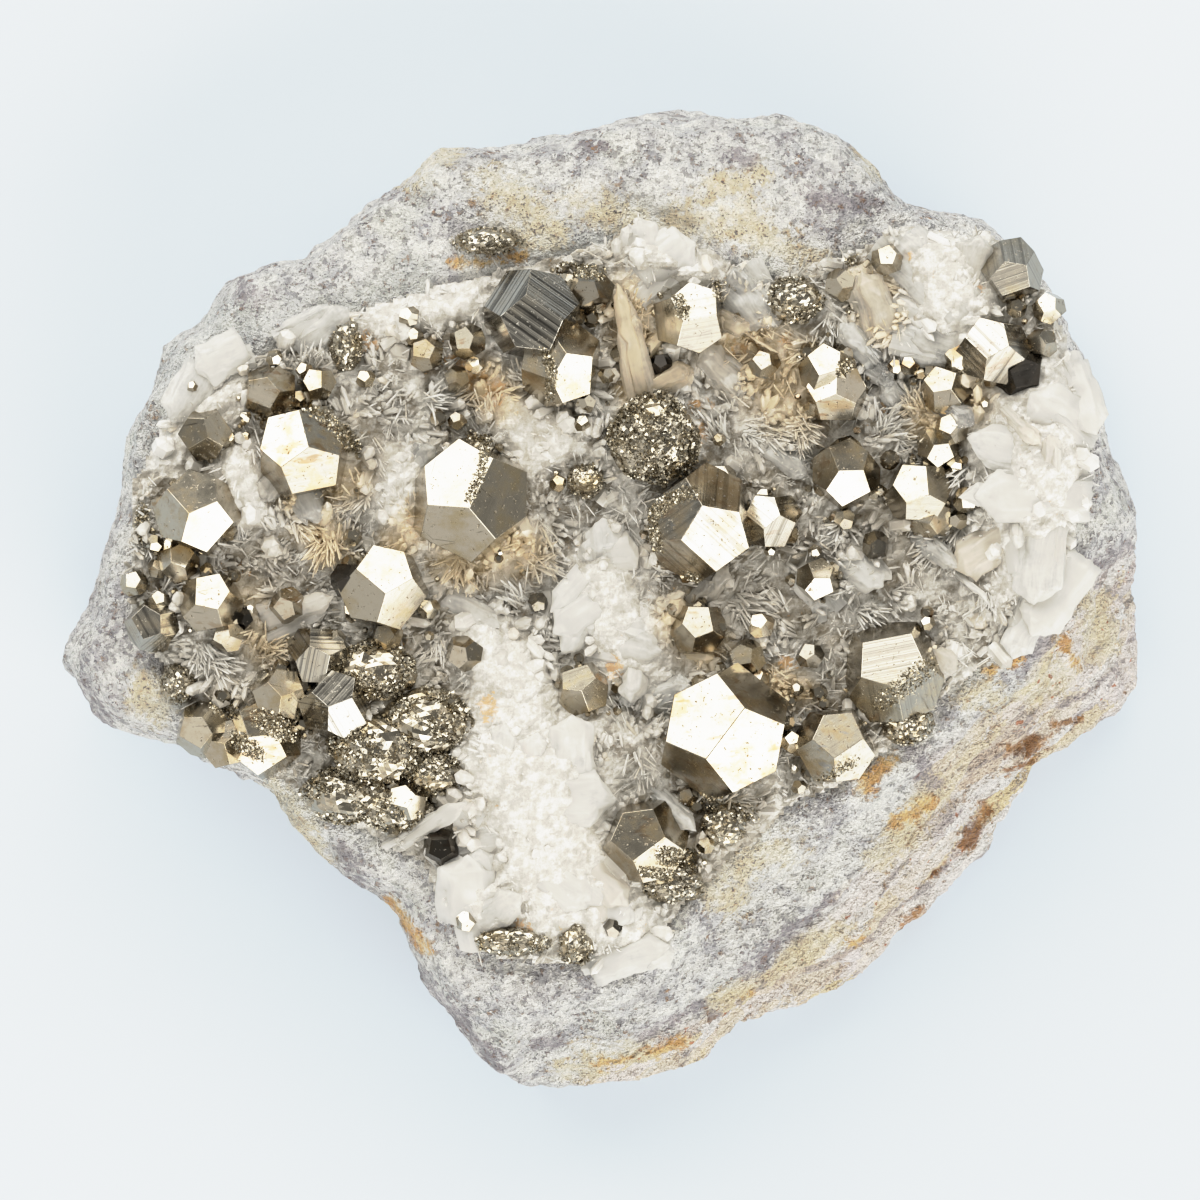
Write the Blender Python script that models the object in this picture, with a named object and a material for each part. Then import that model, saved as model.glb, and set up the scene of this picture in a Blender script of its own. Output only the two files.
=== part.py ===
"""Pyrite with quartz: a hand specimen of rock with a field of pyrite and quartz crystals on its face.

Metres, +Z up. The specimen lies on a flat rest at z = 0 with its crystal face up, and the origin is the
middle of its plan, on the surface that it lies on. +X runs along its greatest width.

Places on the crystal face are plan steps: the specimen seen from straight above, px to the right and py
towards the front, 1077 steps over its width. Sizes and heights are millimetres, turned into metres by MM.
"""

import math

import bmesh
import bpy
import numpy as np
from mathutils import Matrix, Vector, noise

MM = 0.001

# Driving dimensions
WIDTH = 150 * MM            # greatest width of the rock
DEPTH = 136.4 * MM          # greatest depth of the rock, front to back
BED_HEIGHT = 33 * MM        # from the rest up to the quartz druse
RIM_HEIGHT = 31.5 * MM      # from the rest up to the rock rim around the druse
CRUST = 3.2 * MM            # thickness of the quartz crust in its shallow bed
DRUSE_MARGIN = 3.0 * MM     # least width of bare rock between the druse and the rock's side
GAP = 0.35 * MM             # clearance between pieces that touch
GROW_AT_CORNERS = 1.25      # how much further a corner moves than the faces beside it

# The plan
STEPS_ACROSS = 1077
STEP = WIDTH / STEPS_ACROSS
PLAN_MIDDLE = (599.5, 599.5)

# Outline of the rock in plan, at its widest level
ROCK_OUTLINE = [
    (61, 660), (95, 593), (122, 505), (131, 430), (163, 352), (198, 325), (225, 276), (297, 257),
    (342, 222), (392, 190), (435, 146), (515, 142), (600, 119), (705, 110), (800, 115), (855, 142),
    (900, 197), (985, 218), (1053, 295), (1090, 395), (1132, 522), (1138, 605), (1138, 675), (1090, 735),
    (1027, 768), (958, 870), (876, 965), (750, 1018), (672, 1067), (524, 1089), (478, 1050), (418, 965),
    (390, 905), (323, 850), (272, 785), (190, 742), (110, 725),
]

# Where the upper face ends and the side begins: close to the outline behind and on the left, far inside
# it at the front right, where the broken side flares out
FACE_EDGE = [
    (95, 655), (122, 590), (146, 510), (152, 440), (180, 370), (222, 330), (262, 292), (330, 252),
    (385, 212), (440, 172), (520, 166), (610, 143), (700, 136), (800, 141), (848, 165), (885, 212),
    (965, 236), (1030, 300), (1066, 400), (1092, 520), (1050, 590), (1010, 665), (950, 712), (890, 772),
    (800, 818), (745, 862), (700, 905), (648, 972), (560, 1000), (512, 1010), (458, 962), (420, 888),
    (345, 850), (292, 788), (200, 725), (122, 706),
]

# Outline of the druse, inside which the crystals grow
DRUSE_OUTLINE = [
    (132, 620), (122, 560), (130, 500), (156, 450), (180, 402), (250, 362), (330, 322), (400, 300),
    (470, 278), (535, 262), (600, 244), (640, 222), (700, 246), (765, 280), (830, 262), (900, 232),
    (985, 236), (1050, 310), (1082, 400), (1086, 500), (1040, 580), (1000, 650), (935, 700), (875, 762),
    (795, 800), (736, 848), (690, 892), (640, 955), (560, 962), (470, 945), (425, 860), (335, 806),
    (270, 770), (195, 738), (185, 690), (150, 650),
]

# Low mounds and hollows of the bed: px, py, radius in steps, height in mm
MOUNDS = [
    (1040, 450, 90, 4.5), (950, 290, 80, 2.0), (540, 770, 90, 2.5), (390, 720, 90, 1.5),
    (700, 740, 120, 1.0), (600, 590, 90, -2.0), (740, 390, 70, -1.5), (650, 440, 55, 1.5),
    (230, 560, 70, -1.0), (620, 300, 70, 1.0), (510, 900, 80, 1.0), (860, 600, 70, -1.0),
]

# Pyrite crystals: px, py, distance across two opposite faces (mm), then how the main face is turned, in
# degrees (tilt from level, direction it leans to, direction its point shows to), and how far the middle
# of the crystal stands above the bed (mm). Directions turn from +X towards +Y.
PYRITE_CRYSTALS = [
    (723, 731, 15.9, 26, 143, 143, 2.6), (470, 500, 14.6, 30, 115, 155, 2.6),
    (700, 523, 13.4, 25, 312, 48, 1.4), (306, 453, 11.4, 35, 140, 195, 1.8),
    (532, 316, 11.3, 43, 45, 55, 2.2), (645, 838, 10.2, 15, 140, 127, 1.8),
    (201, 513, 10.1, 30, 303, 138, 1.8), (891, 671, 12.2, 19, 104, 281, 0.4),
    (832, 744, 9.4, 20, 67, 124, 1.8), (265, 738, 9.0, 40, 100, 20, 0.2), (385, 588, 10.6, 30, 88, 50, 0.4),
    (688, 318, 9.0, 25, 60, 100, 1.4), (834, 395, 7.5, 35, 40, 358, 1.8), (826, 373, 6.8, 30, 110, 30, 1.8),
    (990, 352, 8.5, 28, 120, 45, 1.2), (338, 705, 8.5, 50, 200, 80, 1.0),
    (561, 366, 10.0, 33, 319, 176, 1.4), (1008, 272, 7.5, 45, 80, 10, 0.8),
    (320, 655, 7.5, 60, 150, 35, 0.2), (205, 728, 6.5, 20, 200, 60, 0.4), (228, 742, 6.0, 35, 330, 15, 0.2),
    (280, 695, 6.8, 40, 60, 110, 0.4), (213, 602, 7.5, 25, 95, 358, 0.6),
    (208, 434, 6.5, 45, 270, 300, 0.8), (272, 393, 6.5, 20, 190, 70, 0.6),
    (1015, 373, 6.2, 65, 60, 30, 0.8), (844, 475, 8.2, 27, 281, 118, 1.4),
    (915, 492, 7.8, 22, 118, 185, 1.4), (582, 688, 6.5, 40, 240, 200, 0.8),
    (697, 628, 6.5, 50, 300, 90, 0.4), (155, 625, 6.2, 15, 150, 30, 0.8), (770, 520, 7.0, 30, 141, 51, 1.0),
    (925, 515, 5.5, 55, 250, 60, 0.5), (590, 290, 5.5, 50, 100, 0, 0.5), (944, 391, 6.2, 35, 122, 251, 0.8),
    (935, 450, 5.0, 45, 90, 30, 0.8), (180, 562, 5.0, 40, 260, 45, 0.5), (816, 580, 5.2, 38, 80, 20, 0.8),
    (408, 800, 5.0, 25, 140, 75, 0.5),
]

# Lumps of massive pyrite: px, py, half sizes along px and py, height above the bed (mm)
PYRITE_LUMPS = [
    (375, 672, 6.2, 4.2, 2.2), (428, 722, 6.4, 5.0, 2.4), (378, 748, 6.6, 5.0, 3.0), (352, 792, 6.4, 4.0, 2.0),
    (398, 806, 5.2, 3.6, 1.8), (438, 770, 4.6, 3.4, 1.6), (652, 440, 6.4, 5.8, 3.4), (585, 480, 2.8, 2.4, 1.4),
    (792, 302, 4.2, 3.2, 1.6), (347, 346, 2.4, 3.6, 1.6), (512, 938, 5.4, 2.0, 1.6), (575, 938, 2.6, 3.2, 1.4),
    (670, 880, 4.6, 2.8, 1.4), (180, 682, 2.4, 2.8, 1.2), (487, 243, 4.6, 1.8, 1.2), (722, 822, 3.2, 3.0, 1.2),
    (905, 722, 3.6, 3.0, 1.2),
]

# Single quartz crystals: foot px, py, point px, py, width (mm), height of the point above the bed (mm)
QUARTZ_POINTS = [
    (1000, 412, 1038, 452, 4.4, 4.0), (968, 500, 1086, 492, 5.6, 5.0), (562, 712, 588, 772, 4.8, 6.0),
    (656, 794, 694, 827, 2.6, 4.0), (922, 404, 968, 421, 2.6, 3.2), (836, 326, 874, 352, 3.2, 3.0),
    (398, 842, 466, 802, 3.0, 4.0), (714, 318, 776, 356, 1.6, 4.2), (630, 395, 622, 292, 2.8, 4.4),
    (648, 390, 640, 300, 2.4, 3.8), (556, 602, 606, 582, 2.8, 2.8), (626, 584, 652, 652, 3.2, 2.6),
    (868, 288, 880, 316, 4.6, 3.0), (955, 572, 986, 602, 1.6, 4.0), (700, 336, 760, 396, 3.2, 3.0),
    (640, 236, 690, 272, 4.4, 2.6), (1034, 398, 1066, 428, 4.0, 5.0), (1010, 540, 1052, 566, 3.6, 4.0),
]

# Tufts of quartz crystals that spread from one place: px, py, spread in steps, how many, longest (mm),
# widest (mm), and the direction that they lean to, in degrees
QUARTZ_TUFTS = [
    (1040, 440, 46, 5, 9.0, 4.6, 20), (1052, 520, 38, 3, 8.0, 4.2, 330), (1024, 600, 26, 2, 6.0, 3.4, 300),
    (950, 290, 48, 4, 6.5, 4.4, 60), (540, 772, 52, 5, 8.5, 4.4, 250), (465, 885, 24, 2, 5.0, 4.4, 200),
    (608, 896, 26, 2, 5.5, 4.0, 270), (640, 600, 44, 2, 5.5, 3.2, 90), (660, 250, 36, 2, 5.5, 4.0, 100),
    (955, 560, 34, 2, 6.0, 3.0, 330), (560, 860, 44, 2, 5.0, 3.6, 240),
]

# How deep the crust's blank goes before the rock trims it
BLANK_FLOOR = 22 * MM

# Triangles kept in the two rock-like solids
ROCK_TRIANGLES = 2200
DRUSE_TRIANGLES = 950


def new_collection(name):
    """Adds an empty collection to the scene."""
    collection = bpy.data.collections.new(name)
    bpy.context.scene.collection.children.link(collection)
    return collection


def new_material(name, colour, roughness, metallic):
    """Makes a plain material with one colour, roughness and metallic value."""
    material = bpy.data.materials.new(name)
    material.use_nodes = True
    shader = material.node_tree.nodes["Principled BSDF"]
    shader.inputs["Base Color"].default_value = (*colour, 1.0)
    shader.inputs["Roughness"].default_value = roughness
    shader.inputs["Metallic"].default_value = metallic
    return material


def new_object(name, bm, collection, material=None):
    """Turns a bmesh into an object in a collection."""
    mesh = bpy.data.meshes.new(name)
    bm.to_mesh(mesh)
    bm.free()
    piece = bpy.data.objects.new(name, mesh)
    collection.objects.link(piece)
    if material:
        mesh.materials.append(material)
    return piece


def hide_as_cutter(piece):
    """Marks an object that only shapes others."""
    piece.hide_render = True
    piece.display_type = "WIRE"
    return piece


def evaluated(piece):
    """The piece's mesh with its modifiers, as a bmesh."""
    bpy.context.view_layer.update()
    final = piece.evaluated_get(bpy.context.evaluated_depsgraph_get())
    bm = bmesh.new()
    bm.from_mesh(final.to_mesh())
    final.to_mesh_clear()
    return bm


def on_plan(px, py, height=0.0):
    """The point in space over a place on the plan."""
    return Vector(((px - PLAN_MIDDLE[0]) * STEP, (PLAN_MIDDLE[1] - py) * STEP, height))


def polar(outline):
    """An outline's corners as rising angles and their radii about the plan's middle."""
    corners = [on_plan(*corner) for corner in outline]
    pairs = sorted((math.atan2(c.y, c.x) % math.tau, c.xy.length) for c in corners)
    return np.array(pairs).T


def reach(outline_polar, angle):
    """How far an outline reaches from the plan's middle in one direction."""
    return float(np.interp(angle % math.tau, *outline_polar, period=math.tau))


def smooth_step(low, high, value):
    """0 below low, 1 above high, and a smooth rise between them."""
    t = min(max((value - low) / (high - low), 0.0), 1.0)
    return t * t * (3 - 2 * t)


def waves(x, y, z, size, layer=0.0):
    """Soft noise from about -1 to 1 whose lumps are size metres across."""
    return noise.noise(Vector((x / size + layer, y / size - layer, z / size + 2 * layer)))


ROCK_POLAR = polar(ROCK_OUTLINE)
FACE_POLAR = polar(FACE_EDGE)
DRUSE_POLAR = polar(DRUSE_OUTLINE)


def bed_height(x, y):
    """Height of the druse at a place, without its crystals."""
    height = BED_HEIGHT + 1.3 * MM * waves(x, y, 0, 17 * MM) + 0.7 * MM * waves(x, y, 0, 7 * MM, 3.0)
    for px, py, radius, rise in MOUNDS:
        away = (on_plan(px, py).xy - Vector((x, y))).length / (radius * STEP)
        height += rise * MM * math.exp(-away * away)
    return height


def druse_reach(turn):
    """How far the druse reaches in one direction: its outline, kept a margin inside the rock's face."""
    return min(reach(DRUSE_POLAR, turn), reach(FACE_POLAR, turn) - DRUSE_MARGIN)


def inside_druse(x, y):
    """How far inside the druse's outline a place is, in metres; negative outside it."""
    return druse_reach(math.atan2(y, x)) - math.hypot(x, y)


def rock_face_height(x, y):
    """Height of the rock's upper face: a rim, and a shallow bed for the quartz crust."""
    rim = RIM_HEIGHT + 1.6 * MM * waves(x, y, 0, 24 * MM, 7.0) + 0.8 * MM * waves(x, y, 0, 8 * MM, 5.0)
    bed = bed_height(x, y) - CRUST
    sunk = smooth_step(-1.5 * MM, 2.5 * MM, inside_druse(x, y))
    return rim + (bed - rim) * sunk


def rock_point(turn, ring):
    """A point of the rock's surface: turn is the direction, ring runs from 0 on top to 1 underneath."""
    outer, face = reach(ROCK_POLAR, turn), reach(FACE_POLAR, turn)
    direction = Vector((math.cos(turn), math.sin(turn), 0))
    flare = smooth_step(5 * MM, 12 * MM, outer - face)
    widest = (15 - 8 * flare) * MM
    if ring < 0.56:
        radius = face * (ring / 0.56) ** 0.85
        x, y = radius * direction.x, radius * direction.y
        round_off = 2.6 * MM * smooth_step(face - 5 * MM, face, radius) * (1 - 0.7 * flare)
        return Vector((x, y, rock_face_height(x, y) - round_off))
    edge = face * direction
    top = rock_face_height(edge.x, edge.y) - 2.6 * MM * (1 - 0.7 * flare)
    if ring < 0.82:
        s = (ring - 0.56) / 0.26
        out_round, down_round = math.sin(s * math.pi / 2), 1 - math.cos(s * math.pi / 2)
        ledge = s + 0.055 * math.sin(s * 19 + 2 * waves(edge.x, edge.y, 0, 30 * MM, 2.0))
        out = out_round + (ledge - out_round) * flare
        down = down_round + (s ** 0.9 - down_round) * flare
        radius = face + (outer - face) * out
        return direction * radius + Vector((0, 0, top + (widest - top) * down))
    if ring < 0.93:
        s = (ring - 0.82) / 0.11
        foot = outer - (9 - 6.5 * flare) * MM
        return direction * (outer + (foot - outer) * s * s) + Vector((0, 0, widest * (1 - s) - 1.5 * MM * s))
    s = (ring - 0.93) / 0.07
    foot = outer - (9 - 6.5 * flare) * MM
    return direction * foot * (1 - s) + Vector((0, 0, -1.5 * MM))


def thin_out(piece, triangles):
    """Leaves a piece with about so many triangles, which settle into flat broken facets."""
    count = sum(len(face.vertices) - 2 for face in piece.data.polygons)
    modifier = piece.modifiers.new("facets", "DECIMATE")
    modifier.ratio = triangles / count
    modifier.use_collapse_triangulate = True


def make_rock(collection, material):
    """The rock: a sphere's rings laid over the face, down the side and under it, then broken up."""
    turns, rings = 150, 70
    bm = bmesh.new()
    bmesh.ops.create_uvsphere(bm, u_segments=turns, v_segments=rings, radius=1.0)
    for vert in bm.verts:
        turn = math.atan2(vert.co.y, vert.co.x)
        ring = math.acos(max(-1.0, min(1.0, vert.co.z))) / math.pi
        point = rock_point(turn, ring)
        on_side = smooth_step(0.5, 0.6, ring)
        chips = noise.fractal(point / (9 * MM), 0.8, 2.2, 4)
        outward = Vector((point.x, point.y, 0)).normalized()
        vert.co = point + outward * chips * 1.5 * MM * on_side + Vector((0, 0, chips * 0.5 * MM))
    shape = new_object("rock_shape", bm, collection)
    thin_out(shape, ROCK_TRIANGLES)
    bm = evaluated(shape)
    bpy.data.objects.remove(shape)
    bmesh.ops.bisect_plane(bm, geom=bm.verts[:] + bm.edges[:] + bm.faces[:], plane_co=(0, 0, 0.0),
                           plane_no=(0, 0, -1), clear_outer=True, dist=1e-6)
    cut = [edge for edge in bm.edges if edge.is_boundary]
    bmesh.ops.holes_fill(bm, edges=cut, sides=0)
    fit_to_size(bm)
    return new_object("rock_matrix", bm, collection, material)


def fit_to_size(bm):
    """Brings the rock to its exact width and depth, centred on the origin."""
    corners = np.array([vert.co[:] for vert in bm.verts])
    low, high = corners.min(axis=0), corners.max(axis=0)
    for vert in bm.verts:
        vert.co.x = (vert.co.x - (low[0] + high[0]) / 2) * WIDTH / (high[0] - low[0])
        vert.co.y = (vert.co.y - (low[1] + high[1]) / 2) * DEPTH / (high[1] - low[1])


def druse_relief(x, y):
    """Height of the small crystals that the crust is made of: one point to each cell."""
    cell = 7.5 * MM
    distances, _ = noise.voronoi(Vector((x / cell, y / cell, 0.4)), distance_metric="DISTANCE")
    return (1.0 - 1.5 * distances[0]) * 2.0 * MM


def make_druse_bed(collection):
    """The quartz crust without its larger crystals, reaching down into the rock that will trim it."""
    bm = bmesh.new()
    bmesh.ops.create_uvsphere(bm, u_segments=150, v_segments=120, radius=1.0)
    for vert in bm.verts:
        turn = math.atan2(vert.co.y, vert.co.x)
        ring = math.acos(max(-1.0, min(1.0, vert.co.z))) / math.pi
        edge = druse_reach(turn)
        drop = smooth_step(0.5, 0.56, ring)
        across = min(2 * ring, 1.0) if ring < 0.56 else (1 - ring) / 0.44
        radius = edge * across ** 0.85 + 1.5 * MM * drop * across
        x, y = radius * math.cos(turn), radius * math.sin(turn)
        fade = 1 - smooth_step(edge - 5 * MM, edge, radius)
        top = bed_height(x, y) + druse_relief(x, y) * (0.3 + 0.7 * fade) - 0.8 * MM * (1 - fade)
        vert.co = Vector((x, y, top + (BLANK_FLOOR - top) * drop))
    bed = new_object("druse_shape", bm, collection)
    thin_out(bed, DRUSE_TRIANGLES)
    return bed


def crystal_turn(tilt, lean, point):
    """Rotation that turns the face (1, 0, 2) to a tilt and lean, with its point shown in one direction."""
    face = Vector((1, 0, 2)).normalized()
    tip = Vector((2, 0, -1)).normalized()
    tilt, lean, point = map(math.radians, (tilt, lean, point))
    normal = Vector((math.sin(tilt) * math.cos(lean), math.sin(tilt) * math.sin(lean), math.cos(tilt)))
    shown = Vector((math.cos(point), math.sin(point), 0))
    along = (shown - normal * normal.dot(shown)).normalized()
    own = Matrix((face, tip, face.cross(tip))).transposed()
    turned = Matrix((normal, along, normal.cross(along))).transposed()
    return turned @ own.transposed()


def pyrite_crystal(row, index, grow=0.0):
    """A pyritohedron: a cube cut back by its twelve faces, each at a slightly different distance."""
    px, py, across, tilt, lean, point, lift = row
    half = across / 2 * MM
    place = on_plan(px, py)
    middle = Vector((place.x, place.y, bed_height(place.x, place.y) + lift * MM))
    turn = crystal_turn(tilt, lean, point)
    bm = bmesh.new()
    bmesh.ops.create_cube(bm, size=half * 4)
    for side, (a, b) in enumerate([(1, 1), (1, -1), (-1, 1), (-1, -1)]):
        for axis, normal in enumerate([(2 * a, b, 0), (0, 2 * a, b), (b, 0, 2 * a)]):
            uneven = 1 + 0.05 * math.sin(index * 7.3 + side * 2.1 + axis * 4.7)
            normal = Vector(normal).normalized()
            bmesh.ops.bisect_plane(bm, geom=bm.verts[:] + bm.edges[:] + bm.faces[:],
                                   plane_co=normal * (half * uneven + grow), plane_no=normal,
                                   clear_outer=True, dist=1e-7)
            bmesh.ops.holes_fill(bm, edges=[edge for edge in bm.edges if edge.is_boundary], sides=0)
    bm.transform(Matrix.Translation(middle) @ turn.to_4x4())
    bmesh.ops.recalc_face_normals(bm, faces=bm.faces)
    if body_volume(bm.faces) < 0:
        bmesh.ops.reverse_faces(bm, faces=bm.faces)
    return bm


def pyrite_lump(row, index, grow=0.0):
    """A lump of massive pyrite: a coarse ball, flattened and chipped."""
    px, py, half_x, half_y, rise = row
    place = on_plan(px, py)
    bm = bmesh.new()
    bmesh.ops.create_icosphere(bm, subdivisions=2, radius=1.0)
    for vert in bm.verts:
        chip = 1 + 0.22 * waves(*(vert.co * 1.7), 1.0, index * 3.1)
        stretched = Vector((vert.co.x * half_x, vert.co.y * half_y, vert.co.z * (rise + 2.0))) * chip * MM
        vert.co = stretched + vert.co * grow
    bm.transform(Matrix.Translation((place.x, place.y, bed_height(place.x, place.y) - 1.0 * MM)))
    return bm


def hexagonal_point(foot, tip, width):
    """A quartz crystal: a six-sided prism closed by six faces that meet in a point."""
    along = tip - foot
    length = along.length
    taper = min(0.64 * width, 0.6 * length)
    bm = bmesh.new()
    bmesh.ops.create_cone(bm, cap_ends=True, segments=6, radius1=width / 2, radius2=width / 2,
                          depth=length - taper)
    top = max(bm.faces, key=lambda face: face.calc_center_median().z)
    peak = bmesh.ops.poke(bm, faces=[top])["verts"][0]
    peak.co.z += taper
    bm.transform(Matrix.Translation((0, 0, (length - taper) / 2)))
    bm.transform(Matrix.Translation(foot) @ along.to_track_quat("Z", "X").to_matrix().to_4x4())
    return bm


def quartz_crystals():
    """All single quartz crystals and those of the tufts, as bmeshes."""
    made = []
    for foot_x, foot_y, tip_x, tip_y, width, rise in QUARTZ_POINTS:
        foot, tip = on_plan(foot_x, foot_y), on_plan(tip_x, tip_y)
        foot.z = bed_height(foot.x, foot.y) - 0.6 * MM
        tip.z = bed_height(tip.x, tip.y) + rise * MM
        made.append(hexagonal_point(foot, tip, width * MM))
    chance = np.random.default_rng(21)
    for px, py, spread, count, longest, widest, lean in QUARTZ_TUFTS:
        for _ in range(count):
            away, where = spread * math.sqrt(chance.random()), chance.random() * math.tau
            foot = on_plan(px + away * math.cos(where), py + away * math.sin(where))
            foot.z = bed_height(foot.x, foot.y) - 1.2 * MM
            heading = math.radians(lean + chance.normal(0, 45))
            steep = math.radians(chance.uniform(28, 75))
            length = (longest * chance.uniform(0.55, 1.0) + 1.2) * MM
            reach_out = length * math.cos(steep)
            tip = foot + Vector((reach_out * math.cos(heading), reach_out * math.sin(heading),
                                 length * math.sin(steep)))
            made.append(hexagonal_point(foot, tip, widest * chance.uniform(0.5, 1.0) * MM))
    return made


def add_boolean(piece, operation, cutter):
    """Joins or cuts a piece with another object, or with all the objects of a collection."""
    modifier = piece.modifiers.new(operation.lower(), "BOOLEAN")
    modifier.operation = operation
    modifier.solver = "EXACT"
    if isinstance(cutter, bpy.types.Collection):
        modifier.operand_type = "COLLECTION"
        modifier.collection = cutter
    else:
        modifier.object = cutter


def grown_copy(piece, name, collection):
    """A copy of a piece's final shape, grown by the gap that neighbours keep."""
    bm = evaluated(piece)
    bm.normal_update()
    for vert in bm.verts:
        vert.co += vert.normal * GAP * GROW_AT_CORNERS
    return hide_as_cutter(new_object(name, bm, collection))


def separate_bodies(bm):
    """Lists the faces of each separate body in a bmesh."""
    for face in bm.faces:
        face.tag = False
    bodies = []
    for start in bm.faces:
        if start.tag:
            continue
        start.tag = True
        body, waiting = [], [start]
        while waiting:
            face = waiting.pop()
            body.append(face)
            for edge in face.edges:
                for neighbour in edge.link_faces:
                    if not neighbour.tag:
                        neighbour.tag = True
                        waiting.append(neighbour)
        bodies.append(body)
    return bodies


def body_volume(faces):
    """Volume enclosed by a closed set of faces."""
    total = 0.0
    for face in faces:
        corners = [vert.co for vert in face.verts]
        for k in range(1, len(corners) - 1):
            total += corners[0].dot(corners[k].cross(corners[k + 1])) / 6
    return total


def split_into_objects(piece, name, smallest, collection, material):
    """Makes each separate body of a piece its own object, numbered from the largest down."""
    bm = evaluated(piece)
    bmesh.ops.remove_doubles(bm, verts=bm.verts, dist=1e-6)
    bmesh.ops.triangulate(bm, faces=bm.faces)
    bodies = [(body_volume(body), body) for body in separate_bodies(bm)]
    bodies = sorted([pair for pair in bodies if pair[0] > smallest], key=lambda pair: -pair[0])
    for number, (_, body) in enumerate(bodies, 1):
        own = bmesh.new()
        copies = {}
        for face in body:
            for vert in face.verts:
                if vert not in copies:
                    copies[vert] = own.verts.new(vert.co)
            own.faces.new([copies[vert] for vert in face.verts])
        new_object(f"{name}_{number:02d}", own, collection, material)
    bm.free()


def fill_collection(name, bmeshes):
    """A collection of cutter objects, one for each bmesh."""
    collection = new_collection(name)
    for number, bm in enumerate(bmeshes, 1):
        hide_as_cutter(new_object(f"{name}_{number:02d}", bm, collection))
    return collection


def all_pyrite(grow=0.0):
    """Every pyrite crystal and lump, grown outwards for the space that they take in the quartz."""
    crystals = [pyrite_crystal(row, number, grow) for number, row in enumerate(PYRITE_CRYSTALS)]
    return crystals + [pyrite_lump(row, number, grow) for number, row in enumerate(PYRITE_LUMPS)]


def main():
    for piece in list(bpy.data.objects):
        bpy.data.objects.remove(piece)
    parts = new_collection("pyrite_with_quartz")
    cutters = new_collection("cutters")
    rock = new_material("rock", (0.74, 0.72, 0.69), 0.85, 0.0)
    pyrite = new_material("pyrite", (0.78, 0.70, 0.55), 0.25, 1.0)
    quartz = new_material("quartz", (0.78, 0.77, 0.75), 0.25, 0.0)

    matrix = make_rock(parts, rock)
    grown_rock = grown_copy(matrix, "grown_rock", cutters)

    bed = make_druse_bed(cutters)
    grown_bed = grown_copy(bed, "grown_bed", cutters)
    add_boolean(bed, "DIFFERENCE", grown_rock)

    crystals = all_pyrite()
    whole = new_object("pyrite_shape", crystals[0], cutters)
    add_boolean(whole, "UNION", fill_collection("pyrite_cutters", crystals[1:]))
    add_boolean(whole, "DIFFERENCE", grown_bed)
    add_boolean(whole, "DIFFERENCE", grown_rock)
    split_into_objects(whole, "pyrite", 2 * MM ** 3, parts, pyrite)

    points = quartz_crystals()
    spikes = new_object("quartz_shape", points[0], cutters)
    add_boolean(spikes, "UNION", fill_collection("quartz_cutters", points[1:]))
    add_boolean(spikes, "DIFFERENCE", fill_collection("pyrite_room", all_pyrite(GAP)))
    add_boolean(spikes, "DIFFERENCE", grown_rock)
    add_boolean(spikes, "UNION", bed)
    split_into_objects(spikes, "quartz", 2 * MM ** 3, parts, quartz)

    for piece in (bed, whole, spikes):
        hide_as_cutter(piece)


main()
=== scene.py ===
import math

import bpy
import numpy as np
from mathutils import Matrix, Vector, noise
from mathutils.bvhtree import BVHTree


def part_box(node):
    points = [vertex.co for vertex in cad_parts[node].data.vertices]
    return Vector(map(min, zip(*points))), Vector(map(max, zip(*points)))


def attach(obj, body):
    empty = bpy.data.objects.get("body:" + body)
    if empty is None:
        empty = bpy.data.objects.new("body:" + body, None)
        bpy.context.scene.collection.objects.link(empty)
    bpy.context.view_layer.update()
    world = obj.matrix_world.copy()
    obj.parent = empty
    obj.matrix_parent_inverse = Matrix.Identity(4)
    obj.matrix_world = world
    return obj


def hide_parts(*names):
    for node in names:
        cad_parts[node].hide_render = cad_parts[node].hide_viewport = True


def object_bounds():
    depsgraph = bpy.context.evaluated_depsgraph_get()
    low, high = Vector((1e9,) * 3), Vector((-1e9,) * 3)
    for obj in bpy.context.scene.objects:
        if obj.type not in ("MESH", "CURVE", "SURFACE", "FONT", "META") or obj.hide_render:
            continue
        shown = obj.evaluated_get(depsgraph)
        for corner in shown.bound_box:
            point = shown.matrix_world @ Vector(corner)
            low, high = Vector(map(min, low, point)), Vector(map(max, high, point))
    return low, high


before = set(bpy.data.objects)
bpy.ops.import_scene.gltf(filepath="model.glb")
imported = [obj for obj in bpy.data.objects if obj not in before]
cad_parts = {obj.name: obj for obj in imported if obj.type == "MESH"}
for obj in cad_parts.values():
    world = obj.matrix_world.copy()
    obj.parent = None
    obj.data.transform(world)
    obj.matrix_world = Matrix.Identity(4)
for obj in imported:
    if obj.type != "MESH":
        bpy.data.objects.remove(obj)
solid_box = [list(corner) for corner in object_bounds()]

MM = 0.001


# The stage: a pale plain floor, the light of seven soft boxes round and above it, and a camera that looks
# straight down on the crystal face through a long lens. None of it is part of the specimen.
FRAME_WIDTH = 167.1 * MM      # what the photograph shows across, at the level of the rock's widest outline
OUTLINE_LEVEL = 12 * MM
CAMERA_HEIGHT = 3.0
SENSOR = 36.0


def byte_colour(red, green, blue):
    """A colour given in screen bytes, as linear light."""
    screen = np.array([red, green, blue]) / 255.0
    return tuple(np.where(screen <= 0.04045, screen / 12.92, ((screen + 0.055) / 1.055) ** 2.4).tolist())


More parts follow.
